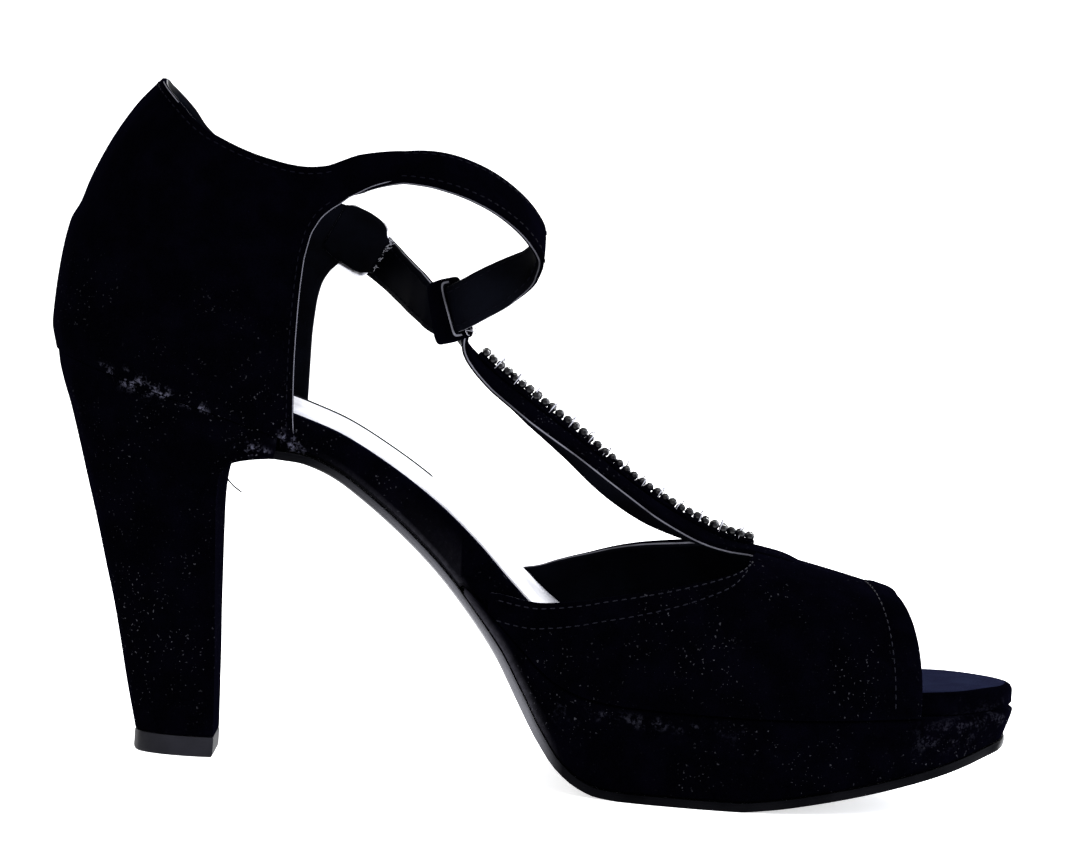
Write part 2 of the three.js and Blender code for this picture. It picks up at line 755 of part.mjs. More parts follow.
// Vamp: an arch over the foot. Crown heights are shares of the vamp's height above the platform.
const crownRows = table("run height", [
  [0, 1.76], [0.152, 1.6], [0.3, 1.44], [0.45, 1.3], [0.6, 1.17], [0.7, 1.1], [0.8, 1.045],
  [0.9, 1.0], [1, 0.965],
]);
const crownSpan = 68; // rear corners to just ahead of the throat
const crownBehind = curve(crownRows.run, crownRows.height);
const crownAhead = curve([0, 0.3, 0.6, 0.8, 1], [0.965, 0.905, 0.84, 0.79, 0.72]);
const crownFront = 33.8; // length over which the crown falls to the open toe
const crownAside = -0.05; // crown off the axis, as a share of the ball
const toplineHeights = table("run medial lateral", [
  [0, 0.1, 0.1], [0.152, 0.25, 0.3], [0.262, 0.365, 0.45], [0.406, 0.48, 0.59], [0.552, 0.583, 0.715],
  [0.7, 0.692, 0.83], [0.849, 0.81, 0.945], [0.93, 0.885, 0.982], [1, 1, 1],
]);
const topline = {
  1: curve(toplineHeights.run, toplineHeights.lateral),
  [-1]: curve(toplineHeights.run, toplineHeights.medial),
};

function vampBase(x) {
  return platformTop(x) + gap;
}

function crownHeight(x) {
  const run = (x - vampRear) / crownSpan;
  const share = run < 1 ? crownBehind(run) : crownAhead((x - vampRear - crownSpan) / crownFront);
  return platformHeight + share * vampHeight;
}

// Point of the vamp's outer face at a place along the shoe and an angle from foot to crown.
function archPoint(x, side, angle) {
  const [, y] = planPoint(stationAt(x, side), side);
  const middle = crownAside * ballWidth;
  const base = vampBase(x);
  const power = 2 / archPower;
  const reach = (y - middle) * Math.max(0, Math.cos(angle)) ** power;
  return new Vector3(x, middle + reach, base + (crownHeight(x) - base) * Math.sin(angle) ** power);
}

// Outward direction of the arch, from how far a point near it is from the superellipse.
function archNormal(point) {
  const middle = crownAside * ballWidth;
  const side = point.y < middle ? -1 : 1;
  const depth = (x, y, z) => {
    const [, edge] = planPoint(stationAt(x, side), side);
    const base = vampBase(x);
    const wide = Math.abs((y - middle) / (edge - middle));
    const high = Math.max(0, (z - base) / (crownHeight(x) - base));
    return wide ** archPower + high ** archPower;
  };
  const { x, y, z } = point;
  const e = 0.05;
  return new Vector3(
    depth(x + e, y, z) - depth(x - e, y, z),
    depth(x, y + e, z) - depth(x, y - e, z),
    depth(x, y, z + e) - depth(x, y, z - e),
  ).normalize();
}

const vampColumns = 18; // stations from the rear edge to the binding
const throatColumn = 12; // station that meets the front of the opening
const vampRows = 10; // rows from the foot to the band

// Sheet of one side of the vamp: foot to topline or crown, rear corner to open toe.
function vampSide(side) {
  const footSpan = peep - vampRear;
  const foot = (share) => vampRear + footSpan * share;
  const throatShare = (throatColumn / vampColumns) * (1 - bindingWidth / (peep - peepLean - throat));
  const crown = (share) => {
    if (share < throatShare) return mix(vampRear, throat, share / throatShare);
    return mix(throat, peep - peepLean, (share - throatShare) / (1 - throatShare));
  };
  const place = (share, height) => {
    const top = crown(share);
    const x = mix(foot(share), top, height ** 1.9);
    const run = (top - vampRear) / (throat - vampRear);
    const open = share < throatShare - 1e-6;
    const topAngle = open ? Math.asin(topline[side](run) ** (archPower / 2)) : Math.PI / 2;
    return archPoint(x, side, topAngle * height);
  };
  const shares = (height) => {
    const length = mix(footSpan, peep - peepLean - throat, height);
    const inner = 1 - bindingWidth / length;
    const list = Array.from({ length: vampColumns }, (_, i) => (inner * i) / (vampColumns - 1));
    return [...list, inner + foldHeight / length, 1];
  };
  const outside = [];
  const inside = [];
  const heights = [...steps(vampRows - 1), 2, 3];
  for (const level of heights) {
    const row = shares(Math.min(1, level)).map((share, column) => {
      const low = place(share, 0.5);
      const length = low.distanceTo(place(share, 0)) + low.distanceTo(place(share, 1));
      const band = 1 - Math.min(0.6, bandWidth / length);
      const height = level <= 1 ? level * band : level === 2 ? mix(band, 1, 0.1) : 1;
      const exact = level === 3 && column === throatColumn ? throatShare : share;
      const point = place(exact, height);
      const normal = archNormal(point);
      const fade = ease((throatColumn - 1 - column) / 2);
      const onBand = level >= 2 && column < throatColumn ? fade : 0;
      const onBinding = column >= vampColumns ? 1 : 0;
      const rise = foldHeight * Math.max(onBand, onBinding);
      if (level === 0) normal.setZ(0).normalize();
      return [
        point.clone().addScaledVector(normal, rise),
        point.clone().addScaledVector(normal, -wall),
      ];
    });
    outside.push(row.map((pair) => pair[0]));
    inside.push(row.map((pair) => pair[1]));
  }
  return { outside, inside, flip: side > 0 };
}

// T-bar: middle of its outer face from its foot on the vamp to the loop, as shares of run and rise.
const barRows = table("run rise drop", [
  [0, 0.02, 0.3], [0.083, 0.045, 0.5], [0.173, 0.095, 0.8], [0.311, 0.196, 1], [0.448, 0.327, 1],
  [0.588, 0.492, 1], [0.728, 0.647, 1], [0.867, 0.8, 0.8], [0.943, 0.892, 0.4], [0.985, 0.955, 0.1],
]);
const barProud = 0.9; // T-bar above the vamp's crown

function barStations() {
  const loop = strapFrame(loopRow);
  const out = wall / 2 + slideGap + wall * 0.85;
  const down = strapWidth / 2 + slideGap + wall * 0.5;
  const end = loop.middle.clone().addScaledVector(loop.face, out).addScaledVector(loop.side, -down);
  const start = new Vector3(throat - 2, crownAside * ballWidth * 0.5, crownHeight(throat - 2));
  const onVamp = [footReach, (footReach + throat) / 2].map((x) =>
    new Vector3(x, start.y, crownHeight(x) + barProud),
  );
  const rising = barRows.run.map(
    (run, i) =>
      new Vector3(mix(start.x, end.x, run), mix(start.y, end.y, run), mix(start.z, end.z, barRows.rise[i])),
  );
  const inLoop = end.clone().addScaledVector(loop.side, wall * 0.25);
  const line = path([...onVamp, ...rising, end, inLoop]);
  const total = onVamp.length + rising.length + 1;
  const drops = [0.15, 0.2, ...barRows.drop, 0, 0];
  return (row) => {
    const whole = Math.min(Math.floor(row), total - 1);
    const share = row / total;
    const turn = ease((share - 0.5) / 0.45);
    const along = line.getTangent(share);
    const side = new Vector3(0, 1, 0).lerp(loop.along, turn);
    side.addScaledVector(along, -side.dot(along)).normalize();
    const half = mix(barWidth, loopWidth, ease((share - 0.35) / 0.55)) / 2;
    const drop = barArch * mix(drops[whole], drops[whole + 1], row - whole);
    return { middle: line.getPoint(share), along, side, half, drop, total };
  };
}

const barAt = barStations();

function tBar() {
  const { total } = barAt(0);
  const list = [];
  for (let row = 0; row <= total; row += 0.5) list.push(barAt(row));
  return ribbon(list, wall, 6);
}

// Loop of the T-bar round the ankle strap: a flat ring, run along the strap.
function strapLoop() {
  const frame = strapFrame(loopRow);
  const flat = (length, thickness, corner) => {
    const [x, y] = [thickness / 2, length / 2];
    const shape = new THREE.Path();
    shape.moveTo(x - corner, -y);
    shape.absarc(x - corner, -y + corner, corner, -Math.PI / 2, 0);
    shape.absarc(x - corner, y - corner, corner, 0, Math.PI / 2);
    shape.absarc(-x + corner, y - corner, corner, Math.PI / 2, Math.PI);
    shape.absarc(-x + corner, -y + corner, corner, Math.PI, 1.5 * Math.PI);
    return shape;
  };
  const inner = [strapWidth + 2 * slideGap, wall + 2 * slideGap];
  const outline = flat(inner[0] + 2 * wall, inner[1] + 2 * wall, wall);
  const shape = new THREE.Shape(outline.getPoints(4));
  shape.holes.push(flat(inner[0], inner[1], 0.4));
  const ring = new THREE.ExtrudeGeometry(shape, { depth: loopWidth, bevelEnabled: false, curveSegments: 3 });
  ring.translate(0, 0, -loopWidth / 2);
  const turn = new THREE.Matrix4().makeBasis(frame.face, frame.side, frame.face.clone().cross(frame.side));
  ring.applyMatrix4(turn);
  ring.translate(...frame.middle.toArray());
  return ring;
}

function vamp() {
  const upper = toManifold(shell([vampSide(1), vampSide(-1)]));
  return fromManifold(upper.add(toManifold(tBar())).add(toManifold(strapLoop())));
}

// Beaded trim along the T-bar: a strip whose outer face rises to a point at each bead.
function beadTrim() {
  const { total } = barAt(0);
  const samples = steps(200).map((share) => barAt(share * total));
  const lengths = [0];
  samples.slice(1).forEach((sample, i) => {
    lengths.push(lengths[i] + sample.middle.distanceTo(samples[i].middle));
  });
  const first = samples.findIndex((sample) => sample.middle.x < throat - 1.5);
  const start = lengths[first];
  const span = lengths.at(-1) - beadClear - start;
  const count = 2 * Math.round(span / beadPitch);
  const rings = [];
  for (let k = 0; k <= count; k += 1) {
    const goal = start + (span * k) / count;
    const i = Math.min(lengths.findIndex((length) => length >= goal), samples.length - 1);
    const share = (i - (lengths[i] - goal) / (lengths[i] - lengths[i - 1])) / 200;
    const { middle, along, side, half, drop } = barAt(share * total);
    const face = new Vector3().crossVectors(along, side).normalize().negate();
    const at = (offset, height) =>
      middle
        .clone()
        .addScaledVector(side, offset)
        .addScaledVector(face, height - drop * (offset / half) ** 2);
    const columns = 2 * beadRows;
    const top = steps(columns).map((step, column) => {
      const bead = column % 2 === 1 && k % 2 === 1;
      return at((step - 0.5) * trimWidth, trimGap + trimThickness + (bead ? beadHeight : 0));
    });
    const foot = [0.5, 0, -0.5].map((step) => at(step * trimWidth, trimGap));
    rings.push([...top, ...foot]);
  }
  return loft(rings);
}

// Buckle on the outer side: a round-cornered frame whose hinge bar lies behind the strap.
function bucklePoint(along, up, out) {
  const { middle, along: run, side, face } = strapFrame(buckleRow);
  return middle
    .clone()
    .addScaledVector(run, along)
    .addScaledVector(side, up)
    .addScaledVector(face, out);
}

const buckleHalf = strapWidth / 2 + buckleWire + 2 * gap;
const buckleClear = wall / 2 + slideGap + buckleWire; // bars off the strap's middle
const buckleRise = curve([0, 0.24, 1], [-1.5, -0.1, 1]); // from behind the strap to its outer side

function buckleFrame() {
  const reach = buckleLength / 2;
  const corner = 2.2;
  const corners = [[1, 1], [1, -1], [-1, -1], [-1, 1]];
  const line = corners.flatMap(([a, b], i) =>
    steps(3).map((step) => {
      const angle = (90 - 90 * i - 90 * step) * degree;
      const along = a * (reach - corner) + corner * Math.cos(angle);
      const up = b * (buckleHalf - corner) + corner * Math.sin(angle);
      return [along, up];
    }),
  );
  const points = line.map(([along, up]) => {
    return bucklePoint(along, up, buckleClear * buckleRise((along + reach) / (2 * reach)));
  });
  const count = points.length;
  const rings = points.map((point, i) => {
    const ahead = points[(i + 1) % count].clone().sub(points[(i + count - 1) % count]).normalize();
    const { face } = strapFrame(buckleRow);
    const across1 = new Vector3().crossVectors(ahead, face).normalize();
    const across2 = new Vector3().crossVectors(across1, ahead).normalize();
    return Array.from({ length: 6 }, (_, k) => {
      const angle = k * 60 * degree;
      return point
        .clone()
        .addScaledVector(across1, buckleWire * Math.cos(angle))
        .addScaledVector(across2, buckleWire * Math.sin(angle));
    });
  });
  return loft(rings, { round: true });
}

function buckleProng() {
  const reach = buckleLength / 2;
  const lift = buckleClear + buckleWire + gap + prongRadius;
  const start = -reach + buckleWire + gap + prongRadius;
  const line = path([
    bucklePoint(start, 0, -buckleClear),
    bucklePoint(holeAlong - 0.1, 0, -wall * 0.3),
    bucklePoint(holeAlong + 0.8, 0, wall * 0.8),
    bucklePoint(holeAlong + 2.6, 0, lift * 0.75),
    bucklePoint(reach - 0.5, 0, lift),
    bucklePoint(reach + 1, 0, lift),
  ]);
  const rings = steps(8).map((share) => {
    const point = line.getPoint(share);
    const ahead = line.getTangent(share);
    const { side } = strapFrame(buckleRow);
    const other = new Vector3().crossVectors(ahead, side).normalize();
    const radius = prongRadius * (share > 0.95 ? 0.6 : 1);
    return Array.from({ length: 6 }, (_, k) =>
      point
        .clone()
        .addScaledVector(side, radius * Math.cos(k * 60 * degree))
        .addScaledVector(other, radius * Math.sin(k * 60 * degree)),
    );
  });
  return loft(rings);
}

// Finishes: colour, roughness and metalness.
const suede = new THREE.MeshStandardMaterial({ color: 0x0b0b10, roughness: 0.95, metalness: 0 });
const soleLeather = new THREE.MeshStandardMaterial({ color: 0x1a1715, roughness: 0.35, metalness: 0 });
const sockLeather = new THREE.MeshStandardMaterial({ color: 0xd9d9dc, roughness: 0.5, metalness: 0 });
const tipRubber = new THREE.MeshStandardMaterial({ color: 0x2a2a2c, roughness: 0.7, metalness: 0 });
const beadGlass = new THREE.MeshStandardMaterial({ color: 0x08080c, roughness: 0.15, metalness: 0 });
const nickel = new THREE.MeshStandardMaterial({ color: 0xc8c8cc, roughness: 0.25, metalness: 1 });

const shoe = new THREE.Group();
const pieces = [
  ["outsole", outsole, soleLeather],
  ["platform", platform, suede],
  ["insole", insole, suede],
  ["sock_lining", sock, sockLeather],
  ["heel", heel, suede],
  ["heel_tip", heelTip, tipRubber],
  ["quarter", quarter, suede],
  ["vamp", vamp, suede],
  ["bead_trim", beadTrim, beadGlass],
  ["buckle_frame", buckleFrame, nickel],
  ["buckle_prong", buckleProng, nickel],
];
for (const [name, make, material] of pieces) {
  const mesh = new THREE.Mesh(make(), material);
  mesh.name = name;
  shoe.add(mesh);
}

export default shoe;
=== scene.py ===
import math

import bmesh
import bpy
import numpy as np
from mathutils import Matrix, Vector


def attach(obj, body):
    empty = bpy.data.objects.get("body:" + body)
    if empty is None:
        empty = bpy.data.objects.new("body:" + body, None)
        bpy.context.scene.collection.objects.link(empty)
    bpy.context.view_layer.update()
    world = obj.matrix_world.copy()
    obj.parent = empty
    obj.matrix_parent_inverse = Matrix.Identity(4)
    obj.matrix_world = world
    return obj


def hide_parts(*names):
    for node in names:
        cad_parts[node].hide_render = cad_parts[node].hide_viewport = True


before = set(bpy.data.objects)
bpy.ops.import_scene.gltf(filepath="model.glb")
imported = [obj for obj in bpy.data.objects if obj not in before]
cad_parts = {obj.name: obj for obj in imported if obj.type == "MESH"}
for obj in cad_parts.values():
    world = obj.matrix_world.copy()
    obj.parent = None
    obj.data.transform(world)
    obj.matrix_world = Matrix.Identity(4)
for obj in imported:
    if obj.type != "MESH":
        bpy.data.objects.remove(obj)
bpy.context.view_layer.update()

# Left high heel shoe. Shapes are worked out in millimetres, in the frame of the CAD part:
# +X to the toe, +Y to the outer side, +Z up, origin on the floor under the ball of the foot.

last = {
    "toeReach": 79.7,
    "heelReach": 153.0,
    "ballWidth": 76.5,
    "seatWidth": 50.5,
    "seatLength": 59.0,
    "heelHeight": 94.6,
    "seatPitch": 16.5,
    "toeSpring": 16.8,
    "toeLift": 4.1,
    "platformHeight": 21.9,
    "wall": 1.8,
    "gap": 0.3,
}
shoeLength = last["heelReach"] + last["toeReach"]
cupFront = last["seatLength"] - last["heelReach"]
wall = last["wall"]
gap = last["gap"]


# Small tools

def ease(t):  # 3t2 - 2t3, held between 0 and 1
    t = np.clip(t, 0, 1)
    return t * t * (3 - 2 * t)


def mix(a, b, t):  # a + (b - a) t
    return a + (b - a) * t


def smoothCurve(xs, ys):
    # Cubic Hermite between keys; each tangent is the harmonic mean of the slopes beside it,
    # or 0 where they differ in sign, so the curve never swings past a key.
    xs, ys = np.asarray(xs, float), np.asarray(ys, float)
    slopes = np.diff(ys) / np.diff(xs)
    before, after = slopes[:-1], slopes[1:]
    total = np.where(before + after == 0, 1, before + after)
    middle = np.where(before * after <= 0, 0, 2 * before * after / total)
    tangents = np.concatenate([slopes[:1], middle, slopes[-1:]])

    def value(x):
        x = np.clip(np.asarray(x, float), xs[0], xs[-1])
        i = np.clip(np.searchsorted(xs, x, side="right") - 1, 0, len(xs) - 2)
        span = xs[i + 1] - xs[i]
        t = (x - xs[i]) / span
        return ((2 * t**3 - 3 * t**2 + 1) * ys[i] + (t**3 - 2 * t**2 + t) * span * tangents[i]
                + (3 * t**2 - 2 * t**3) * ys[i + 1] + (t**3 - t**2) * span * tangents[i + 1])
    return value


def unit(v):  # v / |v| along the last axis
    return v / np.maximum(np.linalg.norm(v, axis=-1, keepdims=True), 1e-9)


def pointsPath(points):
    # Centripetal Catmull-Rom through points, sampled densely: returns place(t) and tangent(t) for
    # t counted in points, so place(2) is the third point.
    p = np.asarray(points, float)
    p = np.vstack([2 * p[0] - p[1], p, 2 * p[-1] - p[-2]])
    knots = np.linalg.norm(np.diff(p, axis=0), axis=1) ** 0.5

    def place(t):
        t = np.clip(np.asarray(t, float), 0, len(p) - 3 - 1e-9)
        i = np.floor(t).astype(int)
        s = (t - i)[..., None]
        a, b, c, d = p[i], p[i + 1], p[i + 2], p[i + 3]
        k0, k1, k2 = knots[i][..., None], knots[i + 1][..., None], knots[i + 2][..., None]
        m1 = (b - a) / k0 - (c - a) / (k0 + k1) + (c - b) / k1
        m2 = (c - b) / k1 - (d - b) / (k1 + k2) + (d - c) / k2
        m1, m2 = m1 * k1, m2 * k1
        return ((2 * s**3 - 3 * s**2 + 1) * b + (s**3 - 2 * s**2 + s) * m1
                + (3 * s**2 - 2 * s**3) * c + (s**3 - s**2) * m2)

    def tangent(t):
        top = len(p) - 3 - 1e-6
        t = np.clip(np.asarray(t, float), 0, top)
        return unit(place(np.minimum(t + 1e-3, top)) - place(np.maximum(t - 1e-3, 0)))
    return place, tangent


def gridFaces(shape, start):
    # Quads (i, j) (i + 1, j) (i + 1, j + 1) (i, j + 1) of a grid, or of each grid of a batch, with
    # start as the number of the first vertex
    k = start + np.arange(int(np.prod(shape))).reshape(shape)
    corners = [k[..., :-1, :-1], k[..., 1:, :-1], k[..., 1:, 1:], k[..., :-1, 1:]]
    return np.stack(corners, axis=-1).reshape(-1, 4)


def lineShare(points, start, end):
    # Distance to the segment from start to end, and the share of the way along it
    start, end = np.array(start, float), np.array(end, float)
    way = end - start
    t = np.clip(((points - start) @ way) / (way @ way), 0, 1)
    return np.linalg.norm(points - (start + t[..., None] * way), axis=-1), t


wearMarks = [  # start and end as x and z, radius, amount: worn places, as seen on the inner side
    ((-140, 91.0), (-136, 89.9), 0.9, 0.6), ((-134, 89.2), (-125, 86.7), 1.4, 0.75),
    ((-124, 86.2), (-120, 84.9), 0.6, 0.6), ((-119, 84.6), (-115, 83.6), 0.6, 0.9),
    ((-107, 75.4), (-101, 74.4), 0.9, 1.0), ((-96, 78.0), (-93, 74.4), 1.2, 0.8),
    ((-90, 71.6), (-84, 69.0), 0.7, 0.8), ((58, 19.0), (76, 24.0), 3.0, 0.08),
    ((-30, 20.5), (14, 18.5), 1.0, 0.11),
]
outerWear = 0.4  # share of the marks that the outer side gets


def wearAt(points):
    # Largest of the marks' bells: amount times exp(-(distance / radius)^2), weaker on the outer side
    flat = points[..., [0, 2]]
    marks = [amount * np.exp(-((lineShare(flat, start, end)[0] / radius) ** 2))
             for start, end, radius, amount in wearMarks]
    return np.max(marks, axis=0) * np.where(points[..., 1] < 0, 1, outerWear)


def makePiece(name, grids, materials, sharp=40, replace=None, paintedHighlightAndGloss=None):
    # Joins grids of points in mm into one mesh: points that are equal to a thousandth are welded,
    # quads with a corner lost become triangles, and faces are turned outwards. A grid is its
    # points, its material and its uv or None. Each vertex gets its wear, and if asked for, its
    # mask of painted highlight and coat gloss.
    points, uvs, quads, slots, start = [], [], [], [], 0
    for corners, material, uv in grids:
        shape = corners.shape[:-1]
        faces = gridFaces(shape, start)
        points.append(corners.reshape(-1, 3))
        uvs.append(np.zeros((len(points[-1]), 2)) if uv is None else uv.reshape(-1, 2))
        quads.append(faces)
        slots.append(np.full(len(faces), material))
        start += len(points[-1])
    points, uvs, quads, slots = [np.concatenate(parts) for parts in (points, uvs, quads, slots)]
    _, first, weld = np.unique(np.round(points, 3), axis=0, return_index=True, return_inverse=True)
    weld = weld.ravel()
    welded = weld[quads]
    same = welded == np.roll(welded, -1, axis=1)
    count = same.sum(axis=1)
    crossed = (welded[:, 0] == welded[:, 2]) | (welded[:, 1] == welded[:, 3])
    full = (count == 0) & ~crossed
    flat = (count == 1) & ~crossed
    keep = ~same[flat]
    tris = welded[flat][keep].reshape(-1, 3)
    trisOld = quads[flat][keep].reshape(-1, 3)
    faces = welded[full].tolist() + tris.tolist()
    mesh = bpy.data.meshes.new(name)
    mesh.from_pydata((points[first] / 1000).tolist(), [], faces)
    corners = np.concatenate([quads[full].ravel(), trisOld.ravel()])
    mesh.uv_layers.new(name="UVMap").data.foreach_set("uv", uvs[corners].ravel())
    mesh.polygons.foreach_set("material_index", np.concatenate([slots[full], slots[flat]]))
    mesh.polygons.foreach_set("use_smooth", np.ones(len(faces), bool))
    for label, values in (("wear", wearAt), ("paintedHighlightAndGloss", paintedHighlightAndGloss)):
        if values:
            mesh.attributes.new(label, "FLOAT", "POINT").data.foreach_set("value", values(points[first]))
    mesh.update()
    work = bmesh.new()
    work.from_mesh(mesh)
    bmesh.ops.recalc_face_normals(work, faces=work.faces)
    work.to_mesh(mesh)
    work.free()
    mesh.set_sharp_from_angle(angle=math.radians(sharp))
    for material in materials:
        mesh.materials.append(material)
    piece = bpy.data.objects.new(name, mesh)
    bpy.context.scene.collection.objects.link(piece)
    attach(piece, "root")
    if replace:
        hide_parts(*replace)
    return piece


def arcLengths(points):  # running length along axis 0, averaged over axis 1
    steps = np.linalg.norm(np.diff(points, axis=0), axis=-1).mean(axis=1)
    return np.concatenate([[0], np.cumsum(steps)])


def lineLengths(points):  # running length of a line of points
    return arcLengths(points[:, None])


def interpolated(goals, places, values):  # np.interp for each of the three coordinates
    return np.stack([np.interp(goals, places, values[:, k]) for k in range(3)], axis=-1)


def gridUv(points):  # lengths along both directions, in mm
    u = arcLengths(points)
    v = arcLengths(points.transpose(1, 0, 2))
    return np.stack(np.meshgrid(u, v, indexing="ij"), axis=-1)


# Plan of the shoe from above

planRows = {
    "along": [0.013, 0.034, 0.064, 0.107, 0.163, 0.228, 0.292, 0.357, 0.421, 0.486, 0.55, 0.614, 0.679,
              0.743, 0.808, 0.872, 0.915, 0.95, 0.976, 0.992],
    "medial": [0.222, 0.337, 0.42, 0.475, 0.495, 0.463, 0.391, 0.332, 0.318, 0.363, 0.415, 0.464, 0.49,
               0.49, 0.471, 0.425, 0.373, 0.307, 0.229, 0.173],
    "lateral": [0.222, 0.337, 0.42, 0.479, 0.505, 0.492, 0.465, 0.451, 0.457, 0.477, 0.496, 0.51, 0.51,
                0.484, 0.438, 0.366, 0.294, 0.216, 0.124, 0.037],
    "toeAside": -0.065,
}
toeStation = len(planRows["along"]) + 1


def planLoop():
    # Half widths are shares of the local width, which runs from the seat's to the ball's
    along = np.array(planRows["along"])
    local = mix(last["seatWidth"], last["ballWidth"], ease((along - 0.2) / 0.42))
    x = along * shoeLength - last["heelReach"]
    outer = np.stack([x, planRows["lateral"] * local], axis=1)
    inner = np.stack([x, -np.array(planRows["medial"]) * local], axis=1)
    toe = [[last["toeReach"], planRows["toeAside"] * last["ballWidth"]]]
    return np.vstack([[[-last["heelReach"], 0]], outer, toe, inner[::-1]])


planPoints = planLoop()


def planPoint(station, side, inset=0.0):
    # Uniform Catmull-Rom round the plan; station counts rows from the back along one side.
    # The inset moves straight across on the flanks and along the normal at the round ends.
    station, side, inset = np.broadcast_arrays(
        np.asarray(station, float), np.asarray(side, float), np.asarray(inset, float))
    count = len(planPoints)
    place = np.where(side > 0, station, -station) + count
    first = np.floor(place).astype(int)
    t = (place - first)[..., None]
    p, q, r, s = [planPoints[(first + k) % count] for k in (-1, 0, 1, 2)]
    xy = q + 0.5 * t * (r - p + t * (2 * p - 5 * q + 4 * r - s + t * (3 * (q - r) + s - p)))
    d = 0.5 * (r - p + 2 * t * (2 * p - 5 * q + 4 * r - s) + 3 * t * t * (3 * (q - r) + s - p))
    d = unit(d)
    inX, inY = d[..., 1], -d[..., 0]
    ends = np.maximum(ease((4.5 - station) / 2), ease((station - toeStation + 7) / 2))
    safe = np.where(np.abs(inY) < 0.2, 1, inY)
    shift = np.where(ends > 0.99, inY, mix(1 / safe, inY, ends))
    return xy[..., 0] + inset * inX * ends, xy[..., 1] + inset * shift


denseStations = np.linspace(0, toeStation, 4001)
denseX = planPoint(denseStations, 1)[0]


def stationAt(x):
    return np.interp(x, denseX, denseStations)


frontStation = float(stationAt(cupFront))


# Heights of the sole, as in the CAD part

bedRows = {"run": [0, 0.104, 0.229, 0.354, 0.458, 0.563, 0.667, 0.771, 0.875, 1],
           "rise": [1, 0.935, 0.817, 0.671, 0.52, 0.343, 0.185, 0.072, 0.017, 0]}
underRows = {"run": [0, 0.06, 0.113, 0.17, 0.227, 0.344, 0.461, 0.582, 0.641, 0.705, 0.767, 0.827, 0.884,
                     0.94, 1],
             "rise": [1, 0.992, 0.972, 0.939, 0.894, 0.787, 0.661, 0.499, 0.408, 0.284, 0.165, 0.077,
                      0.029, 0.006, 0]}
creaseRows = {"run": [0, 0.12, 0.227, 0.33, 0.402, 0.524, 0.69, 1],
              "rise": [0.43, 0.322, 0.214, 0.112, 0.062, 0.02, 0.004, 0]}
springRows = {"run": [0, 0.13, 0.276, 0.422, 0.567, 0.717, 0.871, 1],
              "rise": [0, 0.07, 0.178, 0.3, 0.44, 0.603, 0.81, 1]}
bedShare = smoothCurve(bedRows["run"], bedRows["rise"])
underShare = smoothCurve(underRows["run"], underRows["rise"])
creaseShare = smoothCurve(creaseRows["run"], creaseRows["rise"])
springShare = smoothCurve(springRows["run"], springRows["rise"])

sole = {
    "treadBack": -13.0,
    "treadFront": 16.0,
    "bedRun": 96.0,
    "platformRear": -52.0,
    "platformRun": 59.0,
    "platformTuck": 1.8,
    "platformTail": 0.8,
    "outsoleThickness": 2.0,
    "outsoleInset": 1.4,
    "insoleThickness": 5.3,
    "seatThickness": 6.2,
    "waistDrop": 5.4,
    "edgeRound": 1.9,
    "boardSet": 0.9,  # how far the board's edge stands in from the upper's inside, and at the open toe
    "boardToeSet": 0.4,
    "boardTurn": 9.0,
    "peep": 55.8,
    "treadRound": 0.3,
    "waistRound": 3.6,
    "outsoleTuck": 1.8,
    "platformRound": 1.3,
    "platformThin": 0.13,  # round for each mm of height, where the platform is thin
    "sockMargin": 2.3,
    "sockThickness": 0.8,
    "sockFront": 30.0,
}
heelShape = {"breast": -109.3, "lipReach": 11.3, "tipLength": 19.3, "tipWidth": 19.6, "tipThickness": 4.7,
             "inset": 0.5}
lipFront = heelShape["breast"] + heelShape["lipReach"]
outsoleRear = lipFront + gap


def seatPlane(x):
    return last["heelHeight"] - (x + last["heelReach"]) * math.tan(math.radians(last["seatPitch"]))


seatFront = seatPlane(cupFront)
ballBed = last["platformHeight"] + gap + sole["insoleThickness"]


def toeRise(x):
    return last["toeLift"] * ease((x - sole["treadFront"]) / (last["toeReach"] * 1.25 - sole["treadFront"]))


def bedTop(x):
    rise = bedShare((x - cupFront) / sole["bedRun"]) * (seatFront + sole["seatThickness"] - ballBed)
    return np.where(x < cupFront, seatPlane(x) + sole["seatThickness"], ballBed + rise + toeRise(x))


def underside(x):
    toe = last["toeSpring"] * springShare((x - sole["treadFront"]) / (last["toeReach"] - sole["treadFront"]))
    back = (seatPlane(lipFront) - sole["waistDrop"]) * underShare(
        (x - lipFront) / (sole["treadBack"] - lipFront))
    return np.where(x > sole["treadFront"], toe, back)


def upright(thickness, x):  # thickness over the cosine of the underside's slope
    return thickness * np.hypot(1, underside(x + 0.5) - underside(x - 0.5))


def outsoleTop(x):
    return underside(x) + upright(sole["outsoleThickness"], x)


def platformTop(x):
    share = creaseShare((x - sole["platformRear"]) / sole["platformRun"])
    rise = share * (seatFront - last["platformHeight"])
    low = outsoleTop(x) + upright(gap + sole["platformTail"], x)
    return np.maximum(last["platformHeight"] + rise + toeRise(x), low)


def insoleBottom(x):
    onOutsole = outsoleTop(x) + upright(gap, x)
    onPlatform = platformTop(x) + gap
    heelStep = np.clip((x - outsoleRear) / 0.5, 0, 1)
    frontStep = np.clip((x - sole["platformRear"] + 1.4) / 1.0, 0, 1)
    return mix(mix(seatPlane(x), onOutsole, heelStep), onPlatform, frontStep)


def boardInset(x):
    return mix(wall + sole["boardSet"], sole["boardToeSet"], ease((x - sole["peep"] - 1) / sole["boardTurn"]))


print("stage: shapes of the last and the sole")


# Materials: small tools, then the groups that several of them share

def feed(tree, target, value):  # a link from a socket, or else the plain value
    if isinstance(value, bpy.types.NodeSocket):
        tree.links.new(value, target)
    else:
        target.default_value = value


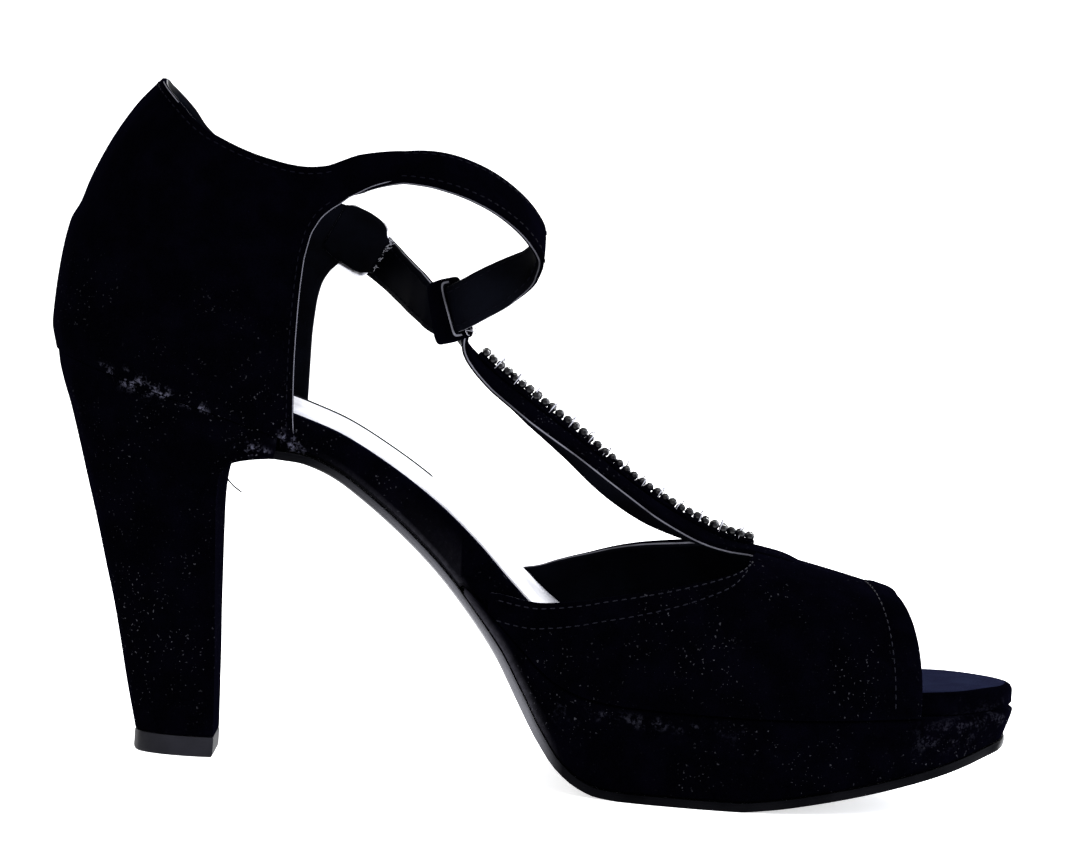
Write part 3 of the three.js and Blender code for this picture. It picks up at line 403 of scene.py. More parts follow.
def noise(tree, place, scale, detail, roughness):
    node = tree.nodes.new("ShaderNodeTexNoise")
    for name, value in (("Vector", place), ("Scale", scale), ("Detail", detail), ("Roughness", roughness)):
        feed(tree, node.inputs[name], value)
    return node.outputs["Fac"]


def ramp(tree, value, *stops):  # greys between two stops, each a position and a grey
    node = tree.nodes.new("ShaderNodeValToRGB")
    for element, (position, grey) in zip(node.color_ramp.elements, stops):
        element.position = position
        element.color = (grey, grey, grey, 1)
    feed(tree, node.inputs["Fac"], value)
    return node.outputs["Color"]


def maths(tree, operation, *values):
    node = tree.nodes.new("ShaderNodeMath")
    node.operation = operation
    for target, value in zip(node.inputs, values):
        feed(tree, target, value)
    return node.outputs[0]


def blend(tree, share, first, second):  # first + (second - first) share, in colour
    node = tree.nodes.new("ShaderNodeMix")
    node.data_type = "RGBA"
    for index, value in ((0, share), (6, first), (7, second)):
        feed(tree, node.inputs[index], value)
    return node.outputs[2]


def attribute(tree, name):
    node = tree.nodes.new("ShaderNodeAttribute")
    node.attribute_name = name
    return node.outputs["Fac"]


def newGroup(name, colours, number, value):
    # Group with two colours and one number given, and colour, height and roughness put out
    group = bpy.data.node_groups.new(name, "ShaderNodeTree")
    for label, colour in colours.items():
        item = group.interface.new_socket(name=label, in_out="INPUT", socket_type="NodeSocketColor")
        item.default_value = colour
    item = group.interface.new_socket(name=number, in_out="INPUT", socket_type="NodeSocketFloat")
    item.default_value = value
    for label, kind in (("Color", "Color"), ("Height", "Float"), ("Roughness", "Float")):
        group.interface.new_socket(name=label, in_out="OUTPUT", socket_type="NodeSocket" + kind)
    given, out = group.nodes.new("NodeGroupInput").outputs, group.nodes.new("NodeGroupOutput").inputs
    return group, given, out, group.nodes.new("ShaderNodeTexCoord").outputs["Object"]


def napGroup():
    # Suede: a fine nap, brushed patches a few millimetres across, sparse dust below the collar,
    # shreds where the piece's wear says so, and streaks of painted grey highlight where its mask of painted
    # highlight is high
    tree, given, out, place = newGroup("napOfSuede", {
        "Dark": (0.004, 0.004, 0.006, 1), "Brushed": (0.02, 0.02, 0.03, 1)}, "Fleck", 0.3)
    nap = noise(tree, place, 2600, 3, 0.7)
    patch = noise(tree, place, 120, 4, 0.6)
    brushed = maths(tree, "MULTIPLY_ADD", ramp(tree, nap, (0.3, 0), (0.75, 1)), 0.6,
                    maths(tree, "MULTIPLY", ramp(tree, patch, (0.42, 0), (0.66, 1)), 0.5))
    tone = blend(tree, brushed, given["Dark"], given["Brushed"])

    split = tree.nodes.new("ShaderNodeSeparateXYZ")
    feed(tree, split.inputs[0], place)
    spots = ramp(tree, noise(tree, place, 1500, 1, 0.4), (0.7, 0), (0.77, 1))
    zones = ramp(tree, noise(tree, place, 45, 2, 0.5), (0.5, 0.04), (0.66, 1))
    low = ramp(tree, split.outputs["Z"], (0.092, 1), (0.12, 0))  # heights in m
    dust = maths(tree, "MULTIPLY", maths(tree, "MULTIPLY", spots, zones), low)
    tone = blend(tree, maths(tree, "MULTIPLY", dust, given["Fleck"]), tone, (0.12, 0.12, 0.14, 1))

    shreds = maths(tree, "MULTIPLY", ramp(tree, noise(tree, place, 1300, 3, 0.65), (0.46, 0), (0.6, 1)),
                   ramp(tree, noise(tree, place, 330, 2, 0.5), (0.48, 0), (0.6, 1)))
    tone = blend(tree, maths(tree, "MULTIPLY", attribute(tree, "wear"), shreds), tone, (0.07, 0.07, 0.1, 1))
    # Painted highlight: streaks of grey where the piece's mask of painted highlight is high
    streaks = ramp(tree, noise(tree, place, 800, 3, 0.6), (0.3, 0.5), (0.7, 1))
    paintedHighlight = maths(tree, "MULTIPLY", attribute(tree, "paintedHighlightAndGloss"), streaks)
    tone = blend(tree, paintedHighlight, tone, (0.075, 0.073, 0.09, 1))

    feed(tree, out["Color"], tone)
    feed(tree, out["Height"], maths(tree, "MULTIPLY_ADD", noise(tree, place, 700, 3, 0.6), 0.8, nap))
    feed(tree, out["Roughness"], ramp(tree, patch, (0.35, 0.98), (0.7, 0.82)))
    return tree


def grainGroup():
    # Smooth leather: shallow creases, a slow change of tone, gloss that comes and goes, and a painted grey
    # highlight by its mask
    tree, given, out, place = newGroup("grainOfLeather", {
        "Dark": (0.4, 0.4, 0.43, 1), "Light": (0.6, 0.6, 0.64, 1)}, "Roughness", 0.45)
    slow = noise(tree, place, 60, 4, 0.6)
    tone = blend(tree, ramp(tree, slow, (0.35, 0), (0.65, 1)), given["Dark"], given["Light"])
    # Painted highlight: grey where the piece's mask of painted highlight is high
    feed(tree, out["Color"], blend(tree, attribute(tree, "paintedHighlightAndGloss"), tone, (0.07, 0.07, 0.082, 1)))
    feed(tree, out["Height"], noise(tree, place, 1400, 3, 0.6))
    gloss = maths(tree, "MULTIPLY_ADD", slow, 0.3, given["Roughness"])
    feed(tree, out["Roughness"], maths(tree, "SUBTRACT", gloss, 0.15))
    return tree


nap = napGroup()
grain = grainGroup()


def newMaterial(name, settings):
    material = bpy.data.materials.new(name)
    material.use_nodes = True
    shader = material.node_tree.nodes["Principled BSDF"].inputs
    for label, value in settings.items():
        shader[label].default_value = value
    return material, material.node_tree, shader


def groupMaterial(name, group, given, strength, depth, settings):
    # Colour, roughness and a bump from the group; depth is the bump's, in m
    material, tree, shader = newMaterial(name, settings)
    look = tree.nodes.new("ShaderNodeGroup")
    look.node_tree = group
    bump = tree.nodes.new("ShaderNodeBump")
    for label, value in given.items():
        look.inputs[label].default_value = value
    for target, value in ((shader["Base Color"], look.outputs["Color"]),
                          (shader["Roughness"], look.outputs["Roughness"]),
                          (bump.inputs["Strength"], strength), (bump.inputs["Distance"], depth),
                          (bump.inputs["Height"], look.outputs["Height"]),
                          (shader["Normal"], bump.outputs["Normal"])):
        feed(tree, target, value)
    return material


def suedeMaterial(name, dark, brushed, fleck, sheen):
    return groupMaterial(
        name, nap, {"Dark": (*dark, 1), "Brushed": (*brushed, 1), "Fleck": fleck}, 0.55, 0.00012,
        {"Specular IOR Level": 0.0, "Sheen Weight": sheen, "Sheen Roughness": 0.35,
         "Sheen Tint": (0.24, 0.23, 0.6, 1)})


def leatherMaterial(name, dark, light, roughness, coat=0.0, bump=0.25, specular=0.5):
    return groupMaterial(
        name, grain, {"Dark": (*dark, 1), "Light": (*light, 1), "Roughness": roughness}, bump, 0.00008,
        {"Specular IOR Level": specular, "Coat Weight": coat, "Coat Roughness": 0.2})


def plainMaterial(name, colour, roughness, metallic=0.0, coat=0.0, specular=0.5):
    # One colour, up to a quarter darker in fine specks
    material, tree, shader = newMaterial(name, {
        "Roughness": roughness, "Metallic": metallic, "Coat Weight": coat, "Specular IOR Level": specular})
    place = tree.nodes.new("ShaderNodeTexCoord").outputs["Object"]
    specks = ramp(tree, noise(tree, place, 900, 2, 0.5), (0.3, 0), (0.7, 1))
    feed(tree, shader["Base Color"], blend(tree, specks, (*[0.75 * c for c in colour], 1), (*colour, 1)))
    return material


suede = suedeMaterial("suede", (0.0001, 0.0001, 0.0002), (0.00045, 0.0004, 0.0012), 0.22, 0.006)
toeSuede = suedeMaterial("suedeToeCover", (0.0008, 0.0014, 0.0034), (0.0042, 0.0066, 0.0135), 0.3, 0.05)
lining = leatherMaterial("lining", (0.0002, 0.0002, 0.0005), (0.001, 0.0012, 0.0024), 0.55, specular=0.008)
sockLeather = leatherMaterial("sockLeather", (0.3, 0.3, 0.33), (0.54, 0.54, 0.57), 0.45, coat=0.1)
soleLeather = leatherMaterial("soleLeather", (0.0003, 0.0003, 0.0006), (0.0016, 0.0016, 0.0022), 0.3,
                              specular=0.012)
soleTree = soleLeather.node_tree  # coat gloss where the waist's mask of painted highlight is high
feed(soleTree, soleTree.nodes["Principled BSDF"].inputs["Coat Weight"], attribute(soleTree, "paintedHighlightAndGloss"))
tipRubber = leatherMaterial("tipRubber", (0.0015, 0.0015, 0.003), (0.006, 0.006, 0.009), 0.55, bump=0.5,
                            specular=0.08)
rawEdge = leatherMaterial("rawEdge", (0.006, 0.006, 0.009), (0.1, 0.1, 0.12), 0.6, bump=0.4, specular=0.2)
thread = plainMaterial("thread", (0.003, 0.003, 0.006), 0.6, specular=0.06)
blackThread = plainMaterial("blackThread", (0.0012, 0.0012, 0.0028), 0.7, specular=0.02)
paleThread = plainMaterial("paleThread", (0.3, 0.3, 0.34), 0.5, specular=0.2)
cutEdge = plainMaterial("cutEdge", (0.085, 0.085, 0.105), 0.6, specular=0.1)
beadGlass = plainMaterial("beadGlass", (0.001, 0.001, 0.002), 0.08, coat=0.3, specular=0.08)
nickel = plainMaterial("nickel", (0.4, 0.4, 0.43), 0.3, metallic=1.0)
print("stage: materials")


# Layers of the sole: rings of the plan at insets and heights, closed by caps

def layerGrids(fromX, toX, levels, count, across=14, extra=(), materials=(0, 0, 0)):
    # Point (station, level) = plan at the level's inset, at the level's height. Caps run straight
    # across between the two sides of the first and last ring.
    s0 = 0 if fromX is None else stationAt(fromX)
    s1 = toeStation if toX is None else stationAt(toX)
    t = np.linspace(0, 1, count)
    shaped = 0.5 - 0.5 * np.cos(np.pi * t)  # closer together at the ends
    stations = np.unique(np.concatenate([mix(s0, s1, mix(t, shaped, 0.5)), stationAt(np.array(extra))]))
    rings = []
    for inset, height in levels:
        halves = []
        for side in (1, -1):
            x0, _ = planPoint(stations, side)
            x, y = planPoint(stations, side, inset(x0))
            halves.append(np.stack([x, y, height(x)], axis=-1))
        rings.append(np.concatenate([halves[0], halves[1][::-1]]))
        if fromX is not None:
            rings[-1] = np.concatenate([rings[-1], rings[-1][:1]])
    rings = np.array(rings)
    grids = [(rings, materials[1], gridUv(rings))]
    n = len(stations)
    t = np.linspace(0, 1, across)[None, :, None]
    for ring, material in ((rings[0], materials[0]), (rings[-1], materials[2])):
        cap = mix(ring[:n, None], ring[n:2 * n][::-1][:, None], t)
        grids.append((cap, material, gridUv(cap)))
    return grids


def outsoleRound(x):  # how far the lower edge is rounded in: deep along the waist, slight on the tread
    return mix(sole["treadRound"], sole["waistRound"], ease((x - outsoleRear) / 14) * ease((-34 - x) / 16))


def outsoleLevels():
    # Quarter ellipse from the underside to the edge, then the edge's upright part
    levels = []
    for angle in np.linspace(0, math.pi / 2, 9):
        levels.append((
            lambda x, a=angle: sole["outsoleInset"] + outsoleRound(x) * (1 - math.sin(a)),
            lambda x, a=angle: mix(underside(x), outsoleTop(x), 0.75 * (1 - math.cos(a)))))
    levels.append((lambda x: sole["outsoleInset"] + 0.15 + 0 * x, outsoleTop))
    return levels


def waistPaintedHighlightAndGloss(points):
    # Painted grey highlight towards the lower edge of the waist, with the outsole's coat gloss there:
    # 1 at the underside, 0 at 4.4 mm square to it, and faded out along the shoe towards the heel and the
    # tread
    x = points[..., 0]
    depth = (points[..., 2] - underside(x)) / upright(1, x)
    return ease((x + 92) / 45) * ease((-26 - x) / 10) * ease((4.4 - depth) / 4.4)


makePiece("outsole_smooth", layerGrids(outsoleRear - sole["outsoleTuck"], None, outsoleLevels(), 150),
          [soleLeather], replace=["outsole"], paintedHighlightAndGloss=waistPaintedHighlightAndGloss)


def platformLevels():
    # Side wall that leans out to its full width by nine tenths of its height, then a small round
    def foot(x):
        return outsoleTop(x) + upright(gap, x)

    def edgeRound(x):
        return np.minimum(sole["platformRound"], sole["platformThin"] * (platformTop(x) - foot(x)))

    levels = [(lambda x: sole["platformTuck"] + 0.4 + 0 * x, foot)]
    for share, inset in ((0.03, 1.0), (0.2, 0.78), (0.4, 0.5), (0.6, 0.26), (0.75, 0.1), (0.86, 0.03)):
        levels.append((
            lambda x, k=inset: sole["platformTuck"] * k + 0 * x,
            lambda x, s=share: mix(foot(x), platformTop(x), s)))
    for angle in np.linspace(0.3, math.pi / 2, 4):
        levels.append((
            lambda x, a=angle: sole["platformRound"] * (1 - math.cos(a)) + 0 * x,
            lambda x, a=angle: platformTop(x) - edgeRound(x) * (1 - math.sin(a))))
    return levels


makePiece("platform_smooth", layerGrids(sole["platformRear"], None, platformLevels(), 120), [suede],
          replace=["platform"], paintedHighlightAndGloss=waistPaintedHighlightAndGloss)


def insoleLevels():
    # Side wall with a small chamfer below and a quarter round above
    levels = [(lambda x: boardInset(x) + 0.7, insoleBottom), (boardInset, lambda x: insoleBottom(x) + 0.8),
              (boardInset, lambda x: insoleBottom(x) + 2.4)]
    for angle in np.linspace(0, math.pi / 2, 5):
        levels.append((
            lambda x, a=angle: boardInset(x) + sole["edgeRound"] * (1 - math.cos(a)),
            lambda x, a=angle: bedTop(x) - sole["edgeRound"] * (1 - math.sin(a))))
    return levels


insoleSteps = [outsoleRear, outsoleRear + 0.5, sole["platformRear"] - 1.4, sole["platformRear"] - 0.4]
makePiece("insole_smooth", layerGrids(None, None, insoleLevels(), 170, 16, insoleSteps, (0, 0, 1)),
          [suede, toeSuede], replace=["insole"], paintedHighlightAndGloss=waistPaintedHighlightAndGloss)


def sockInset(x):
    return boardInset(x) + sole["sockMargin"]


def sockTop(x):
    return bedTop(x) + gap + sole["sockThickness"]


sockRound = 0.35
sockLevels = [
    (sockInset, lambda x: bedTop(x) + gap),
    (sockInset, lambda x: bedTop(x) + gap + sole["sockThickness"] * 0.6),
    (lambda x: sockInset(x) + sockRound, sockTop),
]
makePiece("sock_smooth", layerGrids(None, sole["sockFront"], sockLevels, 120), [sockLeather],
          replace=["sock_lining"])


def sockLine():
    # Dark line along the outer side, from the cup to the waist, just above the sock
    x = np.linspace(cupFront - 6, -62, 60)
    lineX, lineY = planPoint(stationAt(x), 1, sockInset(x) + sockRound)
    return np.stack([lineX, lineY, sockTop(lineX) + 0.15], axis=-1)


print("stage: sole, board and sock")


# Heel: sections that turn from level at the floor to the slope of the seat

heelRows = {
    "back": [0, 0.113, 0.2, 0.293, 0.4, 0.506, 0.62, 0.732, 0.849, 0.92, 0.975, 1],
    "backUp": [0, 0.122, 0.228, 0.335, 0.44, 0.546, 0.652, 0.757, 0.861, 0.914, 0.963, 1],
    "front": [0, -0.035, -0.07, -0.115, -0.15, -0.186, -0.212, -0.177, 0.07, 0.47, 0.947, 1],
    "frontUp": [0, 0.144, 0.274, 0.397, 0.52, 0.644, 0.76, 0.849, 0.904, 0.922, 0.936, 1],
    "width": [0, 0.027, 0.075, 0.143, 0.23, 0.34, 0.47, 0.626, 0.803, 0.898, 0.966, 1],
}


def heelOutline(count):
    # The plan behind the heel's lip as shares along and across, back tip in the middle
    inset = heelShape["inset"]
    stations = np.linspace(0, float(stationAt(lipFront)), count)
    lateral = planPoint(stations, 1, inset)
    medial = planPoint(stations[::-1], -1, inset)
    x = np.concatenate([medial[0], lateral[0][1:]])
    y = np.concatenate([medial[1], lateral[1][1:]])
    length = lipFront + last["heelReach"] - inset
    return (x + last["heelReach"] - inset) / length, 2 * y / last["seatWidth"]


def heelSections(rowPlaces, outline):
    # x = back + (front - back) s, z likewise, y = w width / 2
    s, w = outline
    index = np.arange(len(heelRows["back"]))
    row = {name: smoothCurve(index, values)(rowPlaces)[:, None] for name, values in heelRows.items()}
    inset = heelShape["inset"]
    foot = heelShape["tipThickness"] + gap
    back = mix(heelShape["breast"] - heelShape["tipLength"], inset - last["heelReach"], row["back"])
    front = heelShape["breast"] + heelShape["lipReach"] * row["front"]
    backUp = mix(foot, seatPlane(inset - last["heelReach"]) - gap, row["backUp"])
    frontUp = mix(foot, seatPlane(lipFront) - gap, row["frontUp"])
    width = mix(heelShape["tipWidth"], last["seatWidth"], row["width"])
    return np.stack([mix(back, front, s), w * width / 2, mix(backUp, frontUp, s)], axis=-1)


def closeAcross(ring, count):
    # Fills a ring that starts and ends on the front line: rows join point k to point n - 1 - k
    half = (len(ring) + 1) // 2
    t = np.linspace(0, 1, count)[None, :, None]
    return mix(ring[:half][:, None], ring[::-1][:half][:, None], t)


def heelGrids():
    outline = heelOutline(40)
    rows = np.linspace(0, 11, 150)
    body = heelSections(rows, outline)
    front = mix(body[:, -1][:, None], body[:, 0][:, None], np.linspace(0, 1, 16)[None, :, None])
    return [(body, 0, gridUv(body)), (front, 0, gridUv(front)),
            (closeAcross(body[0], 16), 0, None), (closeAcross(body[-1], 16), 0, None)]


heel = makePiece("heel_smooth", heelGrids(), [suede], sharp=50, replace=["heel"])
bevel = heel.modifiers.new("edges", "BEVEL")
bevel.width = 0.0005
bevel.segments = 3
bevel.limit_method = "ANGLE"
bevel.angle_limit = math.radians(50)


def tipGrids():
    outline = heelOutline(30)
    top = heelSections(np.array([0.0]), outline)[0]
    middle = heelShape["breast"] - heelShape["tipLength"] / 2
    rings = []
    for z, grow in ((0, 0.975), (0.35, 0.998), (0.9, 1.01), (heelShape["tipThickness"] - 0.3, 1.01),
                    (heelShape["tipThickness"], 0.995)):
        rings.append(np.stack([middle + (top[:, 0] - middle) * grow, top[:, 1] * grow,
                               np.full(len(top), z)], axis=-1))
    rings = np.array(rings)
    front = mix(rings[:, -1][:, None], rings[:, 0][:, None], np.linspace(0, 1, 16)[None, :, None])
    return [(rings, 0, gridUv(rings)), (front, 0, None),
            (closeAcross(rings[0], 16), 0, None), (closeAcross(rings[-1], 16), 0, None)]


makePiece("heel_tip_smooth", tipGrids(), [tipRubber], replace=["heel_tip"])
print("stage: heel")


# Heel cup and ankle strap

cup = {
    "height": 71.4,
    "level": [0, 0.08, 0.147, 0.285, 0.43, 0.505, 0.58, 0.657, 0.738, 0.818, 0.903, 1],
    "back": [0, -0.022, -0.019, -0.005, 0.025, 0.064, 0.092, 0.127, 0.169, 0.217, 0.276, 0.359],
    "edgeLevel": [0, 0.1, 0.3, 0.43, 0.5, 0.55, 0.6, 0.64, 0.69, 0.72, 0.75, 0.79, 0.825, 0.86, 1],
    "edgeMedial": [0, -0.012, -0.019, -0.017, -0.014, -0.01, -0.005, 0.004, 0.017, 0.033, 0.051, 0.088,
                   0.129, 0.16, 0.16],
    "edgeLateral": [0, -0.003, -0.004, 0.005, 0.02, 0.046, 0.09, 0.122, 0.148, 0.15, 0.14, 0.12, 0.12,
                    0.12, 0.12],
    "topRun": [0, 0.23, 0.335, 0.445, 0.66, 0.76, 0.83, 0.92, 1],
    "topMedial": [1, 0.94, 0.91, 0.888, 0.873, 0.877, 0.886, 0.918, 0.983],
    "topLateral": [1, 0.93, 0.885, 0.85, 0.79, 0.78, 0.783, 0.79, 0.8],
    "flareMedial": 0.155,
    "flareLateral": 0.06,
    "strapRoot": 0.865,
}
cupBack = smoothCurve(cup["level"], cup["back"])
cupBulge = smoothCurve([0, 0.12, 0.35, 0.6, 0.8, 1], [0, 0.02, 0.04, 0.03, 0, -0.04])
cupEdge = [smoothCurve(cup["edgeLevel"], cup[name]) for name in ("edgeMedial", "edgeLateral")]
cupTopline = [smoothCurve(cup["topRun"], cup[name]) for name in ("topMedial", "topLateral")]


def cupSurface(u, level):
    # u is the station, negative on the inner side. x runs from the leaning back to the front edge,
    # y is the plan's times 1 + bulge + flare, z is the seat plus level times the height.
    u, level = np.broadcast_arrays(np.asarray(u, float), np.asarray(level, float))
    outer = u >= 0
    x0, y0 = planPoint(np.abs(u), np.where(outer, 1, -1))
    run = (x0 + last["heelReach"]) / last["seatLength"]
    back = last["seatLength"] * cupBack(level) - last["heelReach"]
    edge = np.where(outer, cupEdge[1](level), cupEdge[0](level))
    x = mix(back, cupFront, run) + last["seatLength"] * edge * run**4
    flare = np.where(outer, cup["flareLateral"], cup["flareMedial"])
    wide = 1 + cupBulge(level) + flare * np.maximum(level, 0) ** 1.5 * run**2
    return np.stack([x, y0 * wide, seatPlane(x) + level * cup["height"]], axis=-1)


def cupNormal(u, level):  # cross product of small steps up and along the cup
    level = np.maximum(level, 0.01)
    along = cupSurface(u + 0.02, level) - cupSurface(u - 0.02, level)
    up = cupSurface(u, level + 0.01) - cupSurface(u, level - 0.01)
    return unit(np.cross(up, along))


def cupTop(u):
    x0, _ = planPoint(np.abs(u), np.where(np.asarray(u) >= 0, 1, -1))
    run = (x0 + last["heelReach"]) / last["seatLength"]
    return np.where(np.asarray(u) >= 0, cupTopline[1](run), cupTopline[0](run))


def dent(points, normals, start, end, width, depth):
    # Soft trough along a line: depth times a bell across it, fading out to both ends
    off, t = lineShare(points, start, end)
    amount = depth * np.exp(-((off / width) ** 2)) * np.sin(math.pi * np.clip(t, 0.02, 0.98)) ** 0.5
    return points - amount[..., None] * normals


def rim(outer, inner, away, bulge, shares):
    # Edge between two matching lines: straight across, bulged away by 4 t (1 - t), flat at its ends
    n = len(outer)
    hold = ease(np.minimum(np.arange(n), np.arange(n)[::-1]) / 3)[:, None, None]
    t = np.array(shares)[None, :, None]
    return mix(outer[:, None], inner[:, None], t) + bulge * hold * 4 * t * (1 - t) * unit(away)[:, None]


def rims(outer, inner, away, bulge=0.35):
    # The suede's part, the raw edge and the lining's part of one edge
    return [(rim(outer, inner, away, bulge, shares), material, None) for shares, material in (
        ((0, 0.12, 0.3, 0.5), 0), ((0.5, 0.6, 0.7), 2), ((0.7, 0.85, 1), 1))]


def sheetRims(outer, inner, bulge):  # rims along both sides and both ends of a sheet
    grids = []
    for edge, beside in ((0, 1), (-1, -2)):
        grids += rims(outer[:, edge], inner[:, edge], outer[:, edge] - outer[:, beside], bulge)
        grids += rims(outer[edge], inner[edge], outer[edge] - outer[beside], bulge)
    return grids


strap = {
    "width": 10.5,
    "reach": 54.0,
    "lift": 65.0,
    "tailOff": 0.6,
    "rows": [  # along, across, up, lean, ahead
        (0.4, -0.554, 1.002, 0.87, 0), (0.572, -0.535, 1.004, 0.9, 0), (0.733, -0.475, 0.965, 0.9, 0),
        (0.868, -0.376, 0.9, 0.97, 0), (0.965, -0.287, 0.823, 1.04, 0), (1.005, -0.222, 0.757, 1.1, 0),
        (0.965, -0.176, 0.689, 0.84, 0), (0.848, -0.17, 0.615, 0.36, 0), (0.741, -0.186, 0.558, 0.14, -0.14),
        (0.665, -0.15, 0.518, 0, -0.25), (0.62, 0, 0.498, 0, -0.25), (0.575, 0.15, 0.478, 0, -0.25),
        (0.52, 0.215, 0.508, 0, -0.14), (0.46, 0.3, 0.547, 0, 0), (0.395, 0.405, 0.589, 0, 0),
        (0.33, 0.49, 0.631, 0, 0), (0.265, 0.535, 0.67, 0, 0)],
    "loopRow": 11,
    "tailRun": [1, 0.9, 0.8, 0.72, 0.62],
    "tailLevel": [0.69, 0.705, 0.72, 0.727, 0.73],
    "columns": 9,
    "trimRow": [0, 0.1, 0.27, 0.5, 0.95, 1.5, 2.2, 3],
    "trim": [0, 0.25, 0.95, 1.4, 1.6, 0.95, 0.1, 0],  # lower edge drawn in just past the root
}


def strapNodes():
    # Middle points and leans of the strap from the cup's inner front edge to the tail on the outer
    # side, and half its width at the root
    rootTop = cupTopline[0](1.0)
    low, top = cupSurface(-frontStation, np.array([cup["strapRoot"] * rootTop, rootTop]))
    side = top - low
    normal = cupNormal(-frontStation, np.array((cup["strapRoot"] + 1) / 2 * rootTop))
    middle = top - side / 2 - wall / 2 * normal
    nodes = [middle]
    leans = [(side[1] / side[2], side[0] / side[2])]
    for along, across, up, lean, ahead in strap["rows"]:
        nodes.append([cupFront + along * strap["reach"], across * last["seatWidth"],
                      seatFront + up * strap["lift"]])
        leans.append((lean, ahead))
    tail = stationAt(np.array(strap["tailRun"]) * last["seatLength"] - last["heelReach"])
    level = np.array(strap["tailLevel"])
    nodes += list(cupSurface(tail, level) + (strap["tailOff"] + wall / 2) * cupNormal(tail, level))
    leans += [(0, 0)] * len(tail)
    return np.array(nodes), np.array(leans, float), np.linalg.norm(side) / 2


strapPoints, strapLeans, rootHalf = strapNodes()
strapPlace, strapTangent = pointsPath(strapPoints)
strapEnd = len(strapPoints) - 1


def strapFrame(row):
    # Middle, direction along, direction across (up and leaning), outward face
    row = np.asarray(row, float)
    index = np.arange(len(strapLeans))
    lean = np.interp(row, index, strapLeans[:, 0])
    ahead = np.interp(row, index, strapLeans[:, 1])
    along = strapTangent(row)
    side = np.stack([ahead, lean, np.ones_like(lean)], axis=-1)
    side = unit(side - (side * along).sum(axis=-1, keepdims=True) * along)
    return strapPlace(row), along, side, unit(np.cross(along, side))


def strapAcross(rows, t):
    # Distance from the middle: half the width times t, the lower edge drawn in just past the root
    half = mix(rootHalf, strap["width"] / 2, ease(rows / 1.5))
    trim = smoothCurve(strap["trimRow"], strap["trim"])(rows)
    return half[:, None] * t + trim[:, None] * (1 - t) / 2


def quarterGrids():
    # The cup's outer and inner sheets, the strap's, and the rims of every free edge
    u = np.linspace(-frontStation, frontStation, 181)
    shares = np.concatenate([np.linspace(0, cup["strapRoot"], 56),
                             np.linspace(cup["strapRoot"], 1, strap["columns"])[1:]])
    level = shares[:, None] * cupTop(u)[None]
    outside = cupSurface(u[None], level)
    normal = cupNormal(u[None], level)
    normal[0, :, 2] = 0
    normal = unit(normal)
    inside = outside - wall * normal
    for start, end, width, depth in cupDents:
        outside = dent(outside, normal, start, end, width, depth)
    root = slice(-strap["columns"], None)
    # The strap is a sheet of its own that starts on the points of the cup's inner front edge
    rows = np.arange(0.2, strapEnd + 0.001, 0.1)
    middle, along, side, face = strapFrame(rows)
    end = strapEnd - rows
    taper = np.sqrt(np.clip(1 - (1 - np.clip(end / 0.9, 0.02, 1)) ** 2, 0.05, 1))
    t = np.linspace(-1, 1, strap["columns"])
    crown = 0.25 * (1 - t**2)  # the strap is a little fuller in its middle
    across = strapAcross(rows, t) * taper[:, None]
    band = middle[:, None] + side[:, None] * across[..., None]
    full = (wall / 2 + crown)[None, :, None]
    strapOut = np.concatenate([outside[root, 0][None], band + face[:, None] * full])
    strapIn = np.concatenate([inside[root, 0][None], band - face[:, None] * (wall / 2)])
    grids = [
        (outside, 0, gridUv(outside)), (inside, 1, gridUv(inside)),
        (strapOut, 0, gridUv(strapOut)), (strapIn, 1, gridUv(strapIn))]
    grids += rims(outside[0], inside[0], outside[0] - outside[1], 0)
    grids += rims(outside[-1], inside[-1], outside[-1] - outside[-2])
    grids += rims(outside[:, -1], inside[:, -1], outside[:, -1] - outside[:, -2])
    lower = slice(0, len(shares) - strap["columns"] + 1)
    grids += rims(outside[lower, 0], inside[lower, 0], outside[lower, 0] - outside[lower, 1])
    for edge, beside in ((0, 1), (-1, -2)):
        grids += rims(strapOut[:, edge], strapIn[:, edge], strapOut[:, edge] - strapOut[:, beside], 0.3)
    grids += rims(strapOut[-1], strapIn[-1], strapOut[-1] - strapOut[-2], 0.3)
    return grids


def cupFrontEdge():
    # Pale cut edge of the inner side: up the cup's front, then round into the strap's lower edge
    level = np.linspace(0.03, cup["strapRoot"], 50) * float(cupTop(-frontStation))
    frontEdge = cupSurface(-frontStation, level)
    rows = np.arange(0.3, 0.85, 0.1)
    middle, along, side, face = strapFrame(rows)
    lowerEdge = middle + side * strapAcross(rows, np.array([-1.0])) + face * wall / 2
    return np.concatenate([frontEdge, lowerEdge]) + np.array([0.05, -0.12, 0])


def cupTopEdge():  # pale cut edge along the topline beside the peak
    u = -frontStation * np.linspace(0.12, 0.42, 40)
    return cupSurface(u, cupTop(u)) + np.array([0.1, 0, 0.05])


cupDents = [  # start, end, width, depth, in mm
    ((-150, -22, 100), (-128, -30, 120), 5.0, 0.45),
    ((-126, -31, 86), (-104, -29, 96), 3.5, 0.4),
    ((-104, -29, 82), (-97, -27, 92), 2.2, 0.5),
    ((-140, 24, 104), (-116, 30, 122), 5.0, 0.45),
    ((-118, 30, 90), (-100, 27, 98), 3.5, 0.4),
    ((-152, 6, 118), (-146, 14, 140), 5.0, 0.35),
]
makePiece("quarter_smooth", quarterGrids(), [suede, lining, rawEdge], sharp=70, replace=["quarter"])
print("stage: heel cup and ankle strap")


# Vamp

